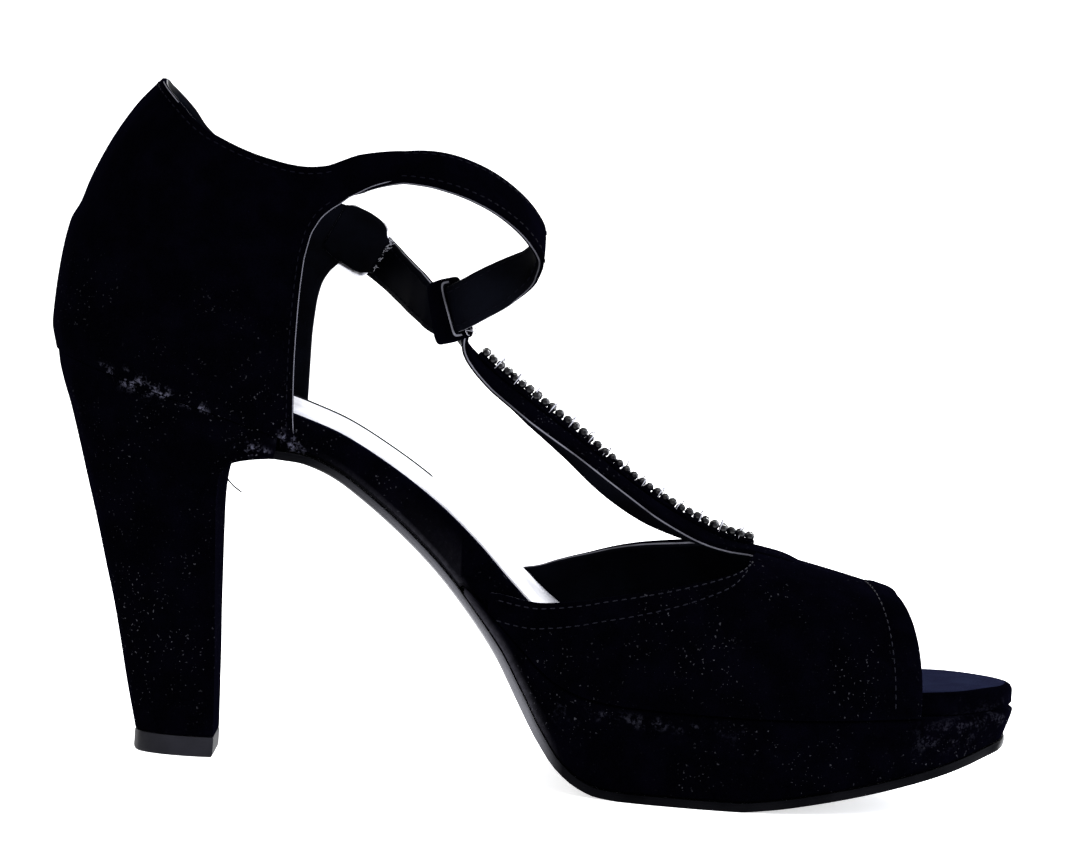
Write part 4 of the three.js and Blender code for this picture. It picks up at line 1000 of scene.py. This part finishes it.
vamp = {
    "height": 36.4,
    "rear": -46.0,
    "throat": 17.0,
    "peepLean": 7.3,
    "archPower": 2.35,
    "aside": -0.05,
    "band": 5.4,
    "binding": 5.6,
    "fold": 0.45,
    "columnsBehind": 64,
    "crownRun": [0, 0.152, 0.3, 0.45, 0.6, 0.7, 0.8, 0.9, 1],
    "crownHeight": [1.76, 1.6, 1.44, 1.3, 1.17, 1.1, 1.045, 1.0, 0.965],
    "crownSpan": 68.0,
    "crownFront": 33.8,
    "topRun": [0, 0.152, 0.262, 0.406, 0.552, 0.7, 0.849, 0.93, 1],
    "topMedial": [0.1, 0.25, 0.365, 0.48, 0.583, 0.692, 0.81, 0.885, 1],
    "topLateral": [0.1, 0.3, 0.45, 0.59, 0.715, 0.83, 0.945, 0.982, 1],
}
crownBehind = smoothCurve(vamp["crownRun"], vamp["crownHeight"])
crownAhead = smoothCurve([0, 0.3, 0.6, 0.8, 1], [0.965, 0.905, 0.84, 0.79, 0.72])
vampTopline = {-1: smoothCurve(vamp["topRun"], vamp["topMedial"]),
               1: smoothCurve(vamp["topRun"], vamp["topLateral"])}
crownMiddle = vamp["aside"] * last["ballWidth"]


def crownLine(x):
    run = (x - vamp["rear"]) / vamp["crownSpan"]
    ahead = crownAhead((x - vamp["rear"] - vamp["crownSpan"]) / vamp["crownFront"])
    return last["platformHeight"] + np.where(run < 1, crownBehind(run), ahead) * vamp["height"]


def archPoint(x, side, angle):
    # Superellipse across the shoe: y = middle + half cos^(2/p), z = base + rise sin^(2/p)
    x, angle = np.broadcast_arrays(np.asarray(x, float), np.asarray(angle, float))
    _, y = planPoint(stationAt(x), side)
    base = platformTop(x) + gap
    power = 2 / vamp["archPower"]
    reach = (y - crownMiddle) * np.clip(np.cos(angle), 0, 1) ** power
    rise = (crownLine(x) - base) * np.clip(np.sin(angle), 0, 1) ** power
    return np.stack([x, crownMiddle + reach, base + rise], axis=-1)


def archNormal(points, side):
    # Gradient of wide^p + high^p at each point
    def depth(offset):
        x, y, z = np.moveaxis(points + offset, -1, 0)
        _, edge = planPoint(stationAt(x), side)
        base = platformTop(x) + gap
        wide = np.abs((y - crownMiddle) / (edge - crownMiddle))
        high = np.maximum(0, (z - base) / (crownLine(x) - base))
        return wide ** vamp["archPower"] + high ** vamp["archPower"]

    return unit(np.stack([depth(step) - depth(-step) for step in 0.05 * np.eye(3)], axis=-1))


bindShare = 1 - vamp["binding"] / (sole["peep"] - vamp["peepLean"] - vamp["throat"])
throatShare = 12 / 18 * bindShare


def vampPlace(share, height, side):
    # share runs from the rear edge to the open toe, height from the foot to the topline or the crown
    share, height = np.broadcast_arrays(np.asarray(share, float), np.asarray(height, float))
    foot = mix(vamp["rear"], sole["peep"], share)
    behind = mix(vamp["rear"], vamp["throat"], share / throatShare)
    ahead = mix(vamp["throat"], sole["peep"] - vamp["peepLean"], (share - throatShare) / (1 - throatShare))
    top = np.where(share < throatShare, behind, ahead)
    x = mix(foot, top, np.clip(height, 0, 1) ** 1.9)
    run = (top - vamp["rear"]) / (vamp["throat"] - vamp["rear"])
    rise = np.clip(vampTopline[side](run), 0, 1) ** (vamp["archPower"] / 2)
    topAngle = np.where(share < throatShare - 1e-6, np.arcsin(rise), math.pi / 2)
    return archPoint(x, side, topAngle * height)


def vampLength(share, side):  # foot to topline along the arch
    t = np.linspace(0, 1, 40)
    line = vampPlace(np.asarray(share)[:, None], t[None], side)
    steps = np.linalg.norm(np.diff(line, axis=1), axis=-1)
    return t, np.concatenate([np.zeros((len(line), 1)), np.cumsum(steps, axis=1)], axis=1)


def vampSpan(height):  # distance from the rear edge to the open toe, as if level all the way
    footSpan = sole["peep"] - vamp["rear"]
    crownSpan = (sole["peep"] - vamp["peepLean"] - vamp["throat"]) / (1 - throatShare)
    return mix(footSpan, crownSpan, height)


def vampSheet(side):
    # Rows from the foot up, columns from the rear edge to the open toe; the folded band along the
    # topline and the binding along the open toe stand a little proud.
    behind = np.linspace(0, throatShare, vamp["columnsBehind"])
    ahead = mix(throatShare, 1, np.linspace(0, 1, 44)[1:])
    share = np.concatenate([behind, ahead])
    height = np.concatenate([np.linspace(0, 0.7, 30), np.linspace(0.7, 1, 26)[1:]])
    outside = vampPlace(share[None], height[:, None], side)
    normal = archNormal(outside, side)
    normal[0, :, 2] = 0
    normal = unit(normal)
    inside = outside - wall * normal
    t, lengths = vampLength(share, side)
    fromTop = np.stack([lengths[k, -1] - np.interp(height, t, lengths[k]) for k in range(len(share))], axis=1)
    bandFade = ease((throatShare - share[None]) / 0.04)
    band = ease((vamp["band"] - fromTop) / 0.5) * bandFade
    fromToe = (1 - share[None]) * vampSpan(height[:, None])
    binding = ease((vamp["binding"] - fromToe) / 0.5)
    thinned = ease(fromToe) * 0.5 + 0.5  # half as thick at the open toe's edge
    outside = outside + (vamp["fold"] * np.maximum(band, binding) * thinned)[..., None] * normal
    for start, end, width, depth in vampDents:
        outside = dent(outside, normal, start, end, width, depth)
    return outside, inside, fromTop, fromToe


vampDents = [  # start, end, width, depth, in mm
    ((14, -33, 34), (2, -22, 56), 3.2, 0.5),
    ((4, -36, 32), (-8, -27, 48), 2.8, 0.4),
    ((24, -30, 38), (18, -16, 54), 3.0, 0.35),
    ((-22, -35, 34), (-34, -31, 42), 3.0, 0.35),
    ((14, 34, 34), (2, 26, 54), 3.2, 0.5),
    ((2, 36, 32), (-12, 30, 50), 2.8, 0.4),
    ((36, -20, 52), (46, -6, 52), 3.5, 0.25),
]


def vampGrids():
    # Both halves, with rims at the foot, along the topline as far as the throat, and at both ends
    grids = []
    topline = slice(0, vamp["columnsBehind"])
    for side in (1, -1):
        outside, inside, fromTop, fromToe = vampSheet(side)
        uv = np.stack([np.broadcast_to(fromToe, fromTop.shape), fromTop], axis=-1)
        grids += [(outside, 0, uv), (inside, 1, uv)]
        grids += rims(outside[0], inside[0], outside[0] - outside[1], 0)
        grids += rims(outside[-1, topline], inside[-1, topline], (outside[-1] - outside[-2])[topline])
        grids += rims(outside[:, 0], inside[:, 0], outside[:, 0] - outside[:, 1])
        grids += rims(outside[:, -1], inside[:, -1], outside[:, -1] - outside[:, -2])
    return grids


makePiece("vamp_smooth", vampGrids(), [suede, lining, rawEdge], sharp=70, replace=["vamp"])
print("stage: vamp")


# T-bar: a band that rises from the crown of the vamp to the loop round the ankle strap

bar = {
    "width": 15.0,
    "loopWidth": 12.0,
    "arch": 3.3,
    "footReach": 30.0,
    "sunk": 0.9,
    "proud": 0.72,
    "slide": 0.5,
    "tilt": [[0.45, 0.14, 15.0], [0.82, 0.13, -17.0]],  # place, reach, degrees that the inner edge is up
    "run": [0, 0.083, 0.173, 0.311, 0.448, 0.588, 0.728, 0.867, 0.943, 0.985],
    "rise": [0.02, 0.045, 0.095, 0.196, 0.327, 0.492, 0.647, 0.8, 0.892, 0.955],
    "drop": [0.3, 0.5, 0.8, 1, 1, 1, 1, 0.8, 0.4, 0.1],
}


def barLine():
    # Points from under the vamp's crown, up the instep and over the strap, and the strap's direction
    middle, along, side, face = strapFrame(float(strap["loopRow"]))
    end = middle + face * (wall / 2 + bar["slide"] + wall * 0.85) - side * (
        strap["width"] / 2 + bar["slide"] + wall * 0.5)
    startX = vamp["throat"] - 2
    start = np.array([startX, crownMiddle / 2, float(crownLine(np.array(startX)))])
    foot = ((bar["footReach"], -bar["sunk"]), ((bar["footReach"] + vamp["throat"]) / 2, bar["proud"]))
    onVamp = [[x, start[1], float(crownLine(np.array(x))) + lift] for x, lift in foot]
    rising = mix(start, end, np.array([bar["run"], bar["run"], bar["rise"]]).T)
    points = np.vstack([onVamp, rising, [end], [end + side * wall * 0.25]])
    return points, along


barPoints, loopAlong = barLine()
barPlace, barTangent = pointsPath(barPoints)
barEnd = len(barPoints) - 1
barDrops = np.array([0.15, 0.2] + bar["drop"] + [0, 0])


def barFrame(row):
    # Middle of the outer face, direction along, direction across, half width, drop of the edges
    row = np.asarray(row, float)
    share = row / barEnd
    along = barTangent(row)
    turn = ease((share - 0.5) / 0.45)[..., None]
    side = mix(np.array([0.0, 1.0, 0.0]), loopAlong, turn)
    side = unit(side - (side * along).sum(axis=-1, keepdims=True) * along)
    tilt = np.radians(sum(angle * np.exp(-(((share - at) / reach) ** 2)) for at, reach, angle in bar["tilt"]))
    side = side * np.cos(tilt)[..., None] + np.cross(along, side) * np.sin(tilt)[..., None]
    half = mix(bar["width"], bar["loopWidth"], ease((share - 0.35) / 0.55)) / 2
    drop = bar["arch"] * np.interp(row, np.arange(len(barDrops)), barDrops)
    return barPlace(row), along, side, half, drop


def barSurface(row, offset, height=0.0):
    # Point at a distance across the bar, dropped by drop (offset / half)^2, lifted along the face
    middle, along, side, half, drop = barFrame(row)
    face = -unit(np.cross(along, side))
    offset = np.asarray(offset, float)
    lift = height - drop * (offset / half) ** 2
    return middle + side * offset[..., None] + face * np.asarray(lift)[..., None], along, side, face


def barGrids():
    rows = np.linspace(0, barEnd, 160)
    t = np.linspace(-1, 1, 25)
    middle, along, side, half, drop = barFrame(rows)
    face = -unit(np.cross(along, side))
    wide = half * mix(0.8, 1, ease(rows / 0.9))  # drawn in where it goes into the vamp
    outer = (middle[:, None] + side[:, None] * (wide[:, None] * t)[..., None]
             - face[:, None] * (drop[:, None] * t**2)[..., None])
    inner = outer - wall * face[:, None]
    grids = [(outer, 0, gridUv(outer)), (inner, 1, gridUv(inner))]
    return grids + sheetRims(outer, inner, 0.3)


makePiece("t_bar", barGrids(), [suede, lining, rawEdge], sharp=70, replace=["vamp"])


def loopGrids():
    # Flat ring: a rounded rectangle round the strap's section, its two ends leaning with the fold
    middle, along, side, face = strapFrame(float(strap["loopRow"]))
    n = 72
    angle = np.linspace(0, 2 * math.pi, n + 1)
    power = 0.32  # squareness of the rounded rectangle
    cosine, sine = np.cos(angle), np.sin(angle)
    squareX = np.sign(cosine) * np.abs(cosine) ** power
    squareY = np.sign(sine) * np.abs(sine) ** power
    slot = (wall / 2 + bar["slide"], strap["width"] / 2 + bar["slide"])
    places = np.linspace(-1, 1, 17)
    rings = []
    for thick in (0.0, wall * 0.95):
        x = squareX * (slot[0] + thick)
        y = squareY * (slot[1] + thick)
        half = bar["loopWidth"] / 2 * mix(1.0, 0.72, ease((y / slot[1] + 1) / 2))  # narrower at its top
        reach = places[:, None] * half[None]
        puff = (0.25 if thick else 0) * (1 - places[:, None] ** 2) * np.ones_like(x)
        rings.append(middle + along * reach[..., None] + face * (x + np.sign(x) * puff)[..., None]
                     + side * (y[None] * np.ones_like(reach))[..., None])
    inner, outer = rings
    grids = [(outer, 0, gridUv(outer)), (inner, 1, gridUv(inner))]
    for end, beside in ((0, 1), (-1, -2)):
        away = unit(outer[end] - outer[beside])[:, None]
        for shares, material in (((0, 0.15, 0.45), 0), ((0.45, 0.55, 0.7), 2), ((0.7, 0.85, 1), 1)):
            t = np.array(shares)[None, :, None]
            ring = mix(outer[end][:, None], inner[end][:, None], t) + 0.25 * 4 * t * (1 - t) * away
            quarterTurn = n // 4
            grids.append((ring[quarterTurn:3 * quarterTurn + 1], material, None))
            front = np.concatenate([ring[3 * quarterTurn:], ring[1:quarterTurn + 1]])
            grids.append((front, 0, None))
    return grids


makePiece("strap_loop", loopGrids(), [suede, lining, rawEdge], sharp=70, replace=["vamp"])
print("stage: T-bar and loop")


# Beads: three rows of small faceted beads on a strip, held by light threads whose pale colour also paints the
# beads' glints

beads = {
    "pitch": 2.3,
    "rows": 3,
    "rowGap": 2.2,
    "radius": 1.12,
    "stripWidth": 7.0,
    "stripLift": 0.45,
    "stripThickness": 0.5,
    "clearTop": 5.8,
    "threadEvery": 5.5,
    "threadRadius": 0.15,
}


def barArc():  # rows and lengths along the bar, and the beads' first and last length
    rows = np.linspace(0, barEnd, 1201)
    points = barPlace(rows)
    lengths = lineLengths(points)
    start = lengths[np.argmax(points[:, 0] < vamp["throat"] - 1.5)]
    return rows, lengths, start, lengths[-1] - beads["clearTop"]


barRows, barLengths, beadStart, beadStop = barArc()


def beadStrip():
    rows = np.interp(np.linspace(beadStart, beadStop, 120), barLengths, barRows)
    t = np.linspace(-0.5, 0.5, 9) * beads["stripWidth"]
    levels = []
    for height in (beads["stripLift"], beads["stripLift"] + beads["stripThickness"]):
        surface, *_ = barSurface(rows[:, None], t[None] * np.ones((len(rows), 1)), height)
        levels.append(surface)
    foot, top = levels
    grids = [(foot, 0, None), (top, 0, None)]
    for edge in (0, -1):
        grids.append((np.stack([foot[:, edge], top[:, edge]], axis=1), 0, None))
        grids.append((np.stack([foot[edge], top[edge]], axis=1), 0, None))
    return grids


def beadBalls():
    # Balls of eight sides at shaken places: a = r sin p cos t, b = r sin p sin t, c = 0.86 r cos p
    rng = np.random.default_rng(7)
    count = int(round((beadStop - beadStart) / beads["pitch"]))
    places = beadStart + (np.arange(count) + 0.5) * (beadStop - beadStart) / count
    offsets = (np.arange(beads["rows"]) - (beads["rows"] - 1) / 2) * beads["rowGap"]
    place, offset = [a.ravel() for a in np.meshgrid(places, offsets, indexing="ij")]
    place = place + rng.uniform(-0.18, 0.18, place.shape)
    offset = offset + rng.uniform(-0.3, 0.3, offset.shape)
    lift = beads["stripLift"] + beads["stripThickness"] + 0.72 * beads["radius"]
    lift = lift + rng.uniform(-0.1, 0.14, place.shape)
    centre, along, side, face = barSurface(np.interp(place, barLengths, barRows), offset, lift)
    spin = rng.uniform(0, 2 * math.pi, (len(place), 1, 1))
    size = beads["radius"] * rng.uniform(0.8, 1.12, (len(place), 1, 1))
    polar = np.linspace(0, math.pi, 7)[None, :, None]
    turn = np.linspace(0, 2 * math.pi, 9)[None, None, :] + spin
    a = size * np.sin(polar) * np.cos(turn)
    b = size * np.sin(polar) * np.sin(turn)
    c = size * 0.86 * np.cos(polar) * np.ones_like(turn)
    return (centre[:, None, None] + a[..., None] * along[:, None, None] + b[..., None] * face[:, None, None]
            + c[..., None] * side[:, None, None])


tubeUp = np.array([0.31, 0.22, 0.92])  # a direction that no thread runs along


def tube(lines, radius, sides=6):
    # Round tubes of radius r along each line of a batch; both ends close to a point
    lines = np.asarray(lines, float)
    tangent = unit(np.gradient(lines, axis=1))
    first = unit(np.cross(tangent, tubeUp))
    second = np.cross(tangent, first)
    n = lines.shape[1]
    r = np.broadcast_to(np.asarray(radius, float), (lines.shape[0], n)).copy()
    r[:, 0] = r[:, -1] = 0
    turn = np.linspace(0, 2 * math.pi, sides + 1)
    ring = (first[:, :, None] * np.cos(turn)[None, None, :, None]
            + second[:, :, None] * np.sin(turn)[None, None, :, None])
    return lines[:, :, None] + ring * r[..., None, None]


def beadThreadsAndPaintedGlints():
    # Loops of pale thread across the rows: a low arc over the beads from edge to edge. Their pale colour also
    # stands in for the beads' glints, a painted highlight.
    rng = np.random.default_rng(11)
    count = int((beadStop - beadStart) / beads["threadEvery"])
    places = beadStart + (np.arange(count) + 0.6) * beads["threadEvery"]
    t = np.linspace(-1, 1, 15)
    slant = rng.uniform(-0.6, 0.6, (count, 1))
    place = places[:, None] + slant * t[None]
    offset = t[None] * (beads["stripWidth"] / 2 - 0.1) * np.ones((count, 1))
    lift = 0.55 + (beads["stripLift"] + 2.1 * beads["radius"]) * (1 - t**6)
    lift = lift + rng.uniform(-0.1, 0.3, (count, 1))
    line, *_ = barSurface(np.interp(place, barLengths, barRows), offset, lift)
    return tube(line, beads["threadRadius"])


makePiece("beads", beadStrip() + [(beadBalls(), 1, None)], [suede, beadGlass], sharp=28,
          replace=["bead_trim"])
makePiece("bead_threads_and_painted_glints", [(beadThreadsAndPaintedGlints(), 0, None)], [paleThread])
print("stage: beads")


# Stitches: short rounded threads that dip at both ends

stitch = {"pitch": 2.1, "length": 1.5, "radius": 0.15, "margin": 0.6}


def stitchRow(points, normals):
    # Threads at even places along a line of points: centre + t length / 2, lifted by 0.08 - 0.24 t^4
    lengths = lineLengths(points)
    room = lengths[-1] - 2 * stitch["margin"]
    count = max(1, int(room / stitch["pitch"]))
    goals = stitch["margin"] + (np.arange(count) + 0.5) * room / count
    centre = interpolated(goals, lengths, points)
    along = unit(interpolated(goals + 0.2, lengths, points) - centre)
    normal = unit(interpolated(goals, lengths, normals))
    t = np.linspace(-1, 1, 7)
    line = (centre[:, None] + along[:, None] * (t * stitch["length"] / 2)[None, :, None]
            + normal[:, None] * (0.08 - 0.24 * t**4)[None, :, None])
    return tube(line, stitch["radius"] * np.sqrt(np.clip(1 - t**6, 0, 1))[None], 5)


def vampLineAt(side, shares, fromTop):
    # Line on the vamp at a distance below its topline
    t, lengths = vampLength(shares, side)
    goal = lengths[:, -1] - fromTop
    height = np.array([np.interp(goal[k], lengths[k], t) for k in range(len(shares))])
    points = vampPlace(shares, height, side)
    return points, archNormal(points, side)


def vampFrontLine(side, fromToe):
    # Line on the vamp at a distance behind the open toe
    height = np.linspace(0.02, 1, 60)
    share = 1 - fromToe / vampSpan(height)
    points = vampPlace(share, height, side)
    return points, archNormal(points, side)


def allStitches():
    # Rows that show (band and open toe), then rows in the suede's own black (strap and cup)
    shown, hidden = [], []
    shares = np.linspace(0.012, throatShare - 0.012, 80)
    for side in (1, -1):
        for fromTop, lift in ((1.1, vamp["fold"]), (5.9, 0.02)):
            points, normals = vampLineAt(side, shares, fromTop)
            fade = ease((throatShare - shares) / 0.04)[:, None]
            shown.append(stitchRow(points + lift * fade * normals, normals))
        points, normals = vampFrontLine(side, 6.1)
        shown.append(stitchRow(points, normals))
    rows = np.arange(0.9, strapEnd - 0.5, 0.05)
    middle, along, side, face = strapFrame(rows)
    for t in (-0.78, 0.78):
        across = side * strapAcross(rows, t)
        for way, lift in ((1, wall / 2 + 0.09), (-1, wall / 2)):
            hidden.append(stitchRow(middle + across + way * lift * face, way * face))
    u = np.linspace(-frontStation * 0.97, frontStation * 0.97, 200)
    points = cupSurface(u, cupTop(u) - 1.3 / cup["height"])
    hidden.append(stitchRow(points, cupNormal(u, cupTop(u) - 0.02)))
    for side in (-1, 1):
        top = 0.84 if side < 0 else 0.97
        level = np.linspace(0.03, top * float(cupTop(side * frontStation)), 120)
        edge = side * float(stationAt(cupFront - 1.5))
        points = cupSurface(edge, level)
        hidden.append(stitchRow(points, cupNormal(edge, level)))
    return [(points, 0, None) for points in shown] + [(points, 1, None) for points in hidden]


makePiece("stitches", allStitches(), [thread, blackThread])
print("stage: stitches")


# Buckle: round wire bent to a frame, with a prong on its hinge bar

buckle = {
    "row": len(strap["rows"]) + 0.95,
    "length": 12.0,
    "wire": 0.8,
    "prong": 0.6,
    "corner": 2.2,
    "holeAlong": -3.2,
}
buckleClear = wall / 2 + bar["slide"] + buckle["wire"]
buckleHalf = strap["width"] / 2 + buckle["wire"] + 2 * gap
buckleRise = smoothCurve([0, 0.24, 1], [-1.5, -0.1, 1])


def bucklePoint(along, up, out):  # from the buckle's middle, along, across and outwards of the strap
    middle, run, side, face = strapFrame(float(buckle["row"]))
    return (middle + np.asarray(along)[..., None] * run + np.asarray(up)[..., None] * side
            + np.asarray(out)[..., None] * face)


def buckleFrameGrid():
    # Rounded rectangle of wire, bent outwards by buckleRise along the strap
    reach, corner = buckle["length"] / 2, buckle["corner"]
    parts = []
    for i, (a, b) in enumerate(((1, 1), (1, -1), (-1, -1), (-1, 1))):
        angle = np.radians(90 - 90 * i - 90 * np.linspace(0, 1, 9))
        parts.append(np.stack([a * (reach - corner) + corner * np.cos(angle),
                               b * (buckleHalf - corner) + corner * np.sin(angle)], axis=1))
    flat = np.concatenate(parts)
    flat = np.vstack([flat, flat[:1]])
    points = bucklePoint(flat[:, 0], flat[:, 1], buckleClear * buckleRise((flat[:, 0] + reach) / (2 * reach)))
    tangent = unit(np.roll(points[:-1], -1, axis=0) - np.roll(points[:-1], 1, axis=0))
    tangent = np.vstack([tangent, tangent[:1]])
    _, _, _, face = strapFrame(float(buckle["row"]))
    first = unit(np.cross(tangent, face))
    second = np.cross(first, tangent)
    turn = np.linspace(0, 2 * math.pi, 13)
    return points[:, None] + buckle["wire"] * (
        first[:, None] * np.cos(turn)[None, :, None] + second[:, None] * np.sin(turn)[None, :, None])


def buckleProngGrid():
    # From the hinge bar, out through the strap's hole and over the frame's far bar
    reach = buckle["length"] / 2
    lift = buckleClear + buckle["wire"] + gap + buckle["prong"]
    start = -reach + buckle["wire"] + gap + buckle["prong"]
    hole = buckle["holeAlong"]
    along = np.array([start, hole - 0.1, hole + 0.8, hole + 2.6, reach - 0.5, reach + 1])
    out = np.array([-buckleClear, -wall * 0.3, wall * 0.8, lift * 0.75, lift, lift])
    place, _ = pointsPath(bucklePoint(along, np.zeros(6), out))
    t = np.linspace(0, 5, 40)
    radius = buckle["prong"] * np.sqrt(np.clip(1 - np.clip((t - 4.4) / 0.62, 0, 1) ** 2, 0.02, 1))
    return tube(place(t)[None], radius[None], 10)


makePiece("buckle_frame_smooth", [(buckleFrameGrid(), 0, None)], [nickel], replace=["buckle_frame"])
makePiece("buckle_prong_smooth", [(buckleProngGrid(), 0, None)], [nickel], replace=["buckle_prong"])


tab = {
    "path": [(6, -3.85), (3, -3.95), (0, -4.15), (-3, -4.5), (-5.2, -4.7), (-6.7, -4.55), (-7.35, -3.8),
             (-7.35, -2.9), (-6.7, -2.1), (-5.4, -1.75), (-3.6, -1.7)],  # along and outwards of the strap
    "half": [5.8, 6.6, 6.9, 6.8, 6.1, 4.7, 4.4, 4.4, 4.4, 4.4, 4.2],
    "shift": [0.9, 0.9, 0.9, 0.8, 0.5, 0, 0, 0, 0, 0, 0],
    "thickness": 0.8,
    "fuzz": 34,
}


def tabGrids():
    # A strip from inside the cup's edge that folds round the hinge bar, carried along its path
    path = np.array(tab["path"], float)
    place, tangent = pointsPath(np.column_stack([path, np.zeros(len(path))]))
    rows = np.linspace(0, len(path) - 1, 70)
    centre, way = place(rows), tangent(rows)
    half = smoothCurve(np.arange(len(path)), tab["half"])(rows)
    shift = smoothCurve(np.arange(len(path)), tab["shift"])(rows)
    away = np.stack([way[:, 1], -way[:, 0]], axis=-1) * tab["thickness"] / 2
    t = np.linspace(-1, 1, 13)
    sheets = []
    for face in (1, -1):
        flat = centre[:, :2] + face * away
        up = shift[:, None] + half[:, None] * t
        sheets.append(bucklePoint(flat[:, :1] * np.ones(13), up, flat[:, 1:] * np.ones(13)))
    outer, inner = sheets
    grids = [(outer, 0, gridUv(outer)), (inner, 1, gridUv(inner))]
    return grids + sheetRims(outer, inner, 0.2)


makePiece("buckle_tab", tabGrids(), [suede, lining, rawEdge], sharp=70)


def curls(starts, ways, lengths, bend, seed):
    # Loose fibres: start + way s + two slow waves across it, growing with s
    rng = np.random.default_rng(seed)
    s = np.linspace(0, 1, 9)[None, :, None]
    sideways = unit(np.cross(ways, rng.normal(size=ways.shape)))[:, None]
    lift = unit(np.cross(ways, sideways[:, 0]))[:, None]
    phase = rng.uniform(0, 6.28, (len(starts), 1, 1))
    wave = bend * s * (np.sin(3.1 * s + phase) * sideways + np.cos(4.3 * s + phase) * lift)
    return starts[:, None] + lengths[:, None, None] * (ways[:, None] * s + wave)


def tabFuzz():
    # Frayed end of the tab: short fibres that stand off its fold and its upper corner
    rng = np.random.default_rng(23)
    count = tab["fuzz"]
    up = rng.uniform(-3.6, 6.4, count)
    along = -7.3 + 0.3 * np.maximum(0, up - 4) + rng.uniform(-0.2, 0.3, count)
    starts = bucklePoint(along, up, rng.uniform(-4.6, -3.6, count))
    heading = bucklePoint(along - rng.uniform(0.3, 1.2, count), up + rng.uniform(-0.8, 2.2, count),
                          rng.uniform(-5.4, -4.0, count))
    return curls(starts, unit(heading - starts), rng.uniform(0.5, 2.2, count), 0.16, 29)


def knotFuzz():
    # A few loose loops of thread where the T-bar's trim ends under the strap
    rng = np.random.default_rng(31)
    count = 12
    starts = np.array([-55.0, -6.5, 105.5]) + rng.uniform(-1.3, 1.3, (count, 3))
    ways = unit(rng.normal(size=(count, 3)) + np.array([0.5, -0.4, 0.1]))
    return curls(starts, ways, rng.uniform(0.8, 1.8, count), 0.7, 37)


heelFibre = np.array([[[-109.6, -17, 68.4], [-108.9, -17, 66.9], [-107.6, -17, 65.6], [-106.1, -17, 64.6],
                       [-104.9, -17, 64.0]]])
makePiece("stray_threads", [
    (tube(tabFuzz(), 0.05, 5), 0, None), (tube(knotFuzz(), 0.07, 5), 0, None),
    (tube(heelFibre, 0.2, 6), 1, None), (tube(sockLine()[None], 0.24, 6), 1, None),
    (tube(cupFrontEdge()[None], 0.1, 6), 2, None), (tube(cupTopEdge()[None], 0.1, 6), 2, None)],
    [paleThread, thread, cutEdge])
print("stage: buckle, its tab and loose threads")


# Floor, light and camera

def stageSetting():
    # Floor that runs back and curves up behind: y = straight + curve sin a, z = curve (1 - cos a)
    size, straight, curve = 4.0, 1.6, 0.9
    a = np.linspace(0, 1, 60)[1:] * math.pi / 2
    depth = np.concatenate([np.linspace(-straight, straight, 40), straight + curve * np.sin(a)])
    height = np.concatenate([np.zeros(40), curve * (1 - np.cos(a))])
    across, row = np.meshgrid(np.linspace(-size, size, 20), np.arange(len(depth)), indexing="ij")
    points = np.stack([across, depth[row], height[row]], axis=-1)
    mesh = bpy.data.meshes.new("floor")
    mesh.from_pydata(points.reshape(-1, 3).tolist(), [], gridFaces(across.shape, 0).tolist())
    mesh.polygons.foreach_set("use_smooth", np.ones(len(mesh.polygons), bool))
    floor = bpy.data.objects.new("floor", mesh)
    bpy.context.scene.collection.objects.link(floor)
    # It gives off some light, as the photo is white all round and has no shadow
    material, *_ = newMaterial("paleFloor", {
        "Base Color": (0.93, 0.93, 0.94, 1), "Roughness": 0.6, "Emission Color": (1, 1, 1, 1),
        "Emission Strength": 0.6})
    mesh.materials.append(material)


def areaLight(name, place, aim, size, power, tint=(1, 1, 1)):
    light = bpy.data.lights.new(name, "AREA")
    light.shape = "RECTANGLE"
    light.size, light.size_y = size
    light.energy = power
    light.color = tint
    lamp = bpy.data.objects.new(name, light)
    lamp.location = place
    lamp.rotation_euler = (Vector(aim) - Vector(place)).to_track_quat("-Z", "Y").to_euler()
    bpy.context.scene.collection.objects.link(lamp)


def lights():
    aim = (-0.03, 0, 0.07)
    areaLight("keyLight", (0.35, -0.75, 0.9), aim, (0.9, 0.7), 10)
    areaLight("fillLight", (-0.9, -0.6, 0.5), aim, (0.8, 0.8), 5)
    areaLight("backLight", (0.5, 0.9, 0.7), aim, (0.8, 0.5), 12)
    areaLight("frontLight", (0.95, -0.12, 0.55), aim, (1.5, 1.0), 26, (0.86, 0.9, 1.0))
    world = bpy.data.worlds.new("studio")
    world.use_nodes = True
    world.node_tree.nodes["Background"].inputs["Color"].default_value = (1, 1, 1, 1)
    world.node_tree.nodes["Background"].inputs["Strength"].default_value = 1.0
    bpy.context.scene.world = world


camera = {
    "aim": (-37.0, 0.0, 83.2),  # mm
    "distance": 1000.0,
    "elevation": 4.0,  # degrees
    "roll": 4.0,
    "lens": 140.0,
    "sensor": 36.0,
}


def placeCamera():
    # Right = (cos r, sin r sin e, sin r cos e), up = (-sin r, cos r sin e, cos r cos e)
    e, r = math.radians(camera["elevation"]), math.radians(camera["roll"])
    right = Vector((math.cos(r), math.sin(r) * math.sin(e), math.sin(r) * math.cos(e)))
    up = Vector((-math.sin(r), math.cos(r) * math.sin(e), math.cos(r) * math.cos(e)))
    back = right.cross(up)
    place = (Vector(camera["aim"]) + back * camera["distance"]) / 1000
    data = bpy.data.cameras.new("camera")
    data.sensor_width = camera["sensor"]
    data.lens = camera["lens"]
    data.clip_start, data.clip_end = 0.05, 20
    shot = bpy.data.objects.new("camera", data)
    shot.matrix_world = Matrix((
        (right.x, up.x, back.x, place.x),
        (right.y, up.y, back.y, place.y),
        (right.z, up.z, back.z, place.z),
        (0, 0, 0, 1)))
    bpy.context.scene.collection.objects.link(shot)
    bpy.context.scene.camera = shot


stageSetting()
lights()
placeCamera()
bpy.context.scene.view_settings.view_transform = "Standard"
print("stage: floor, light and camera")
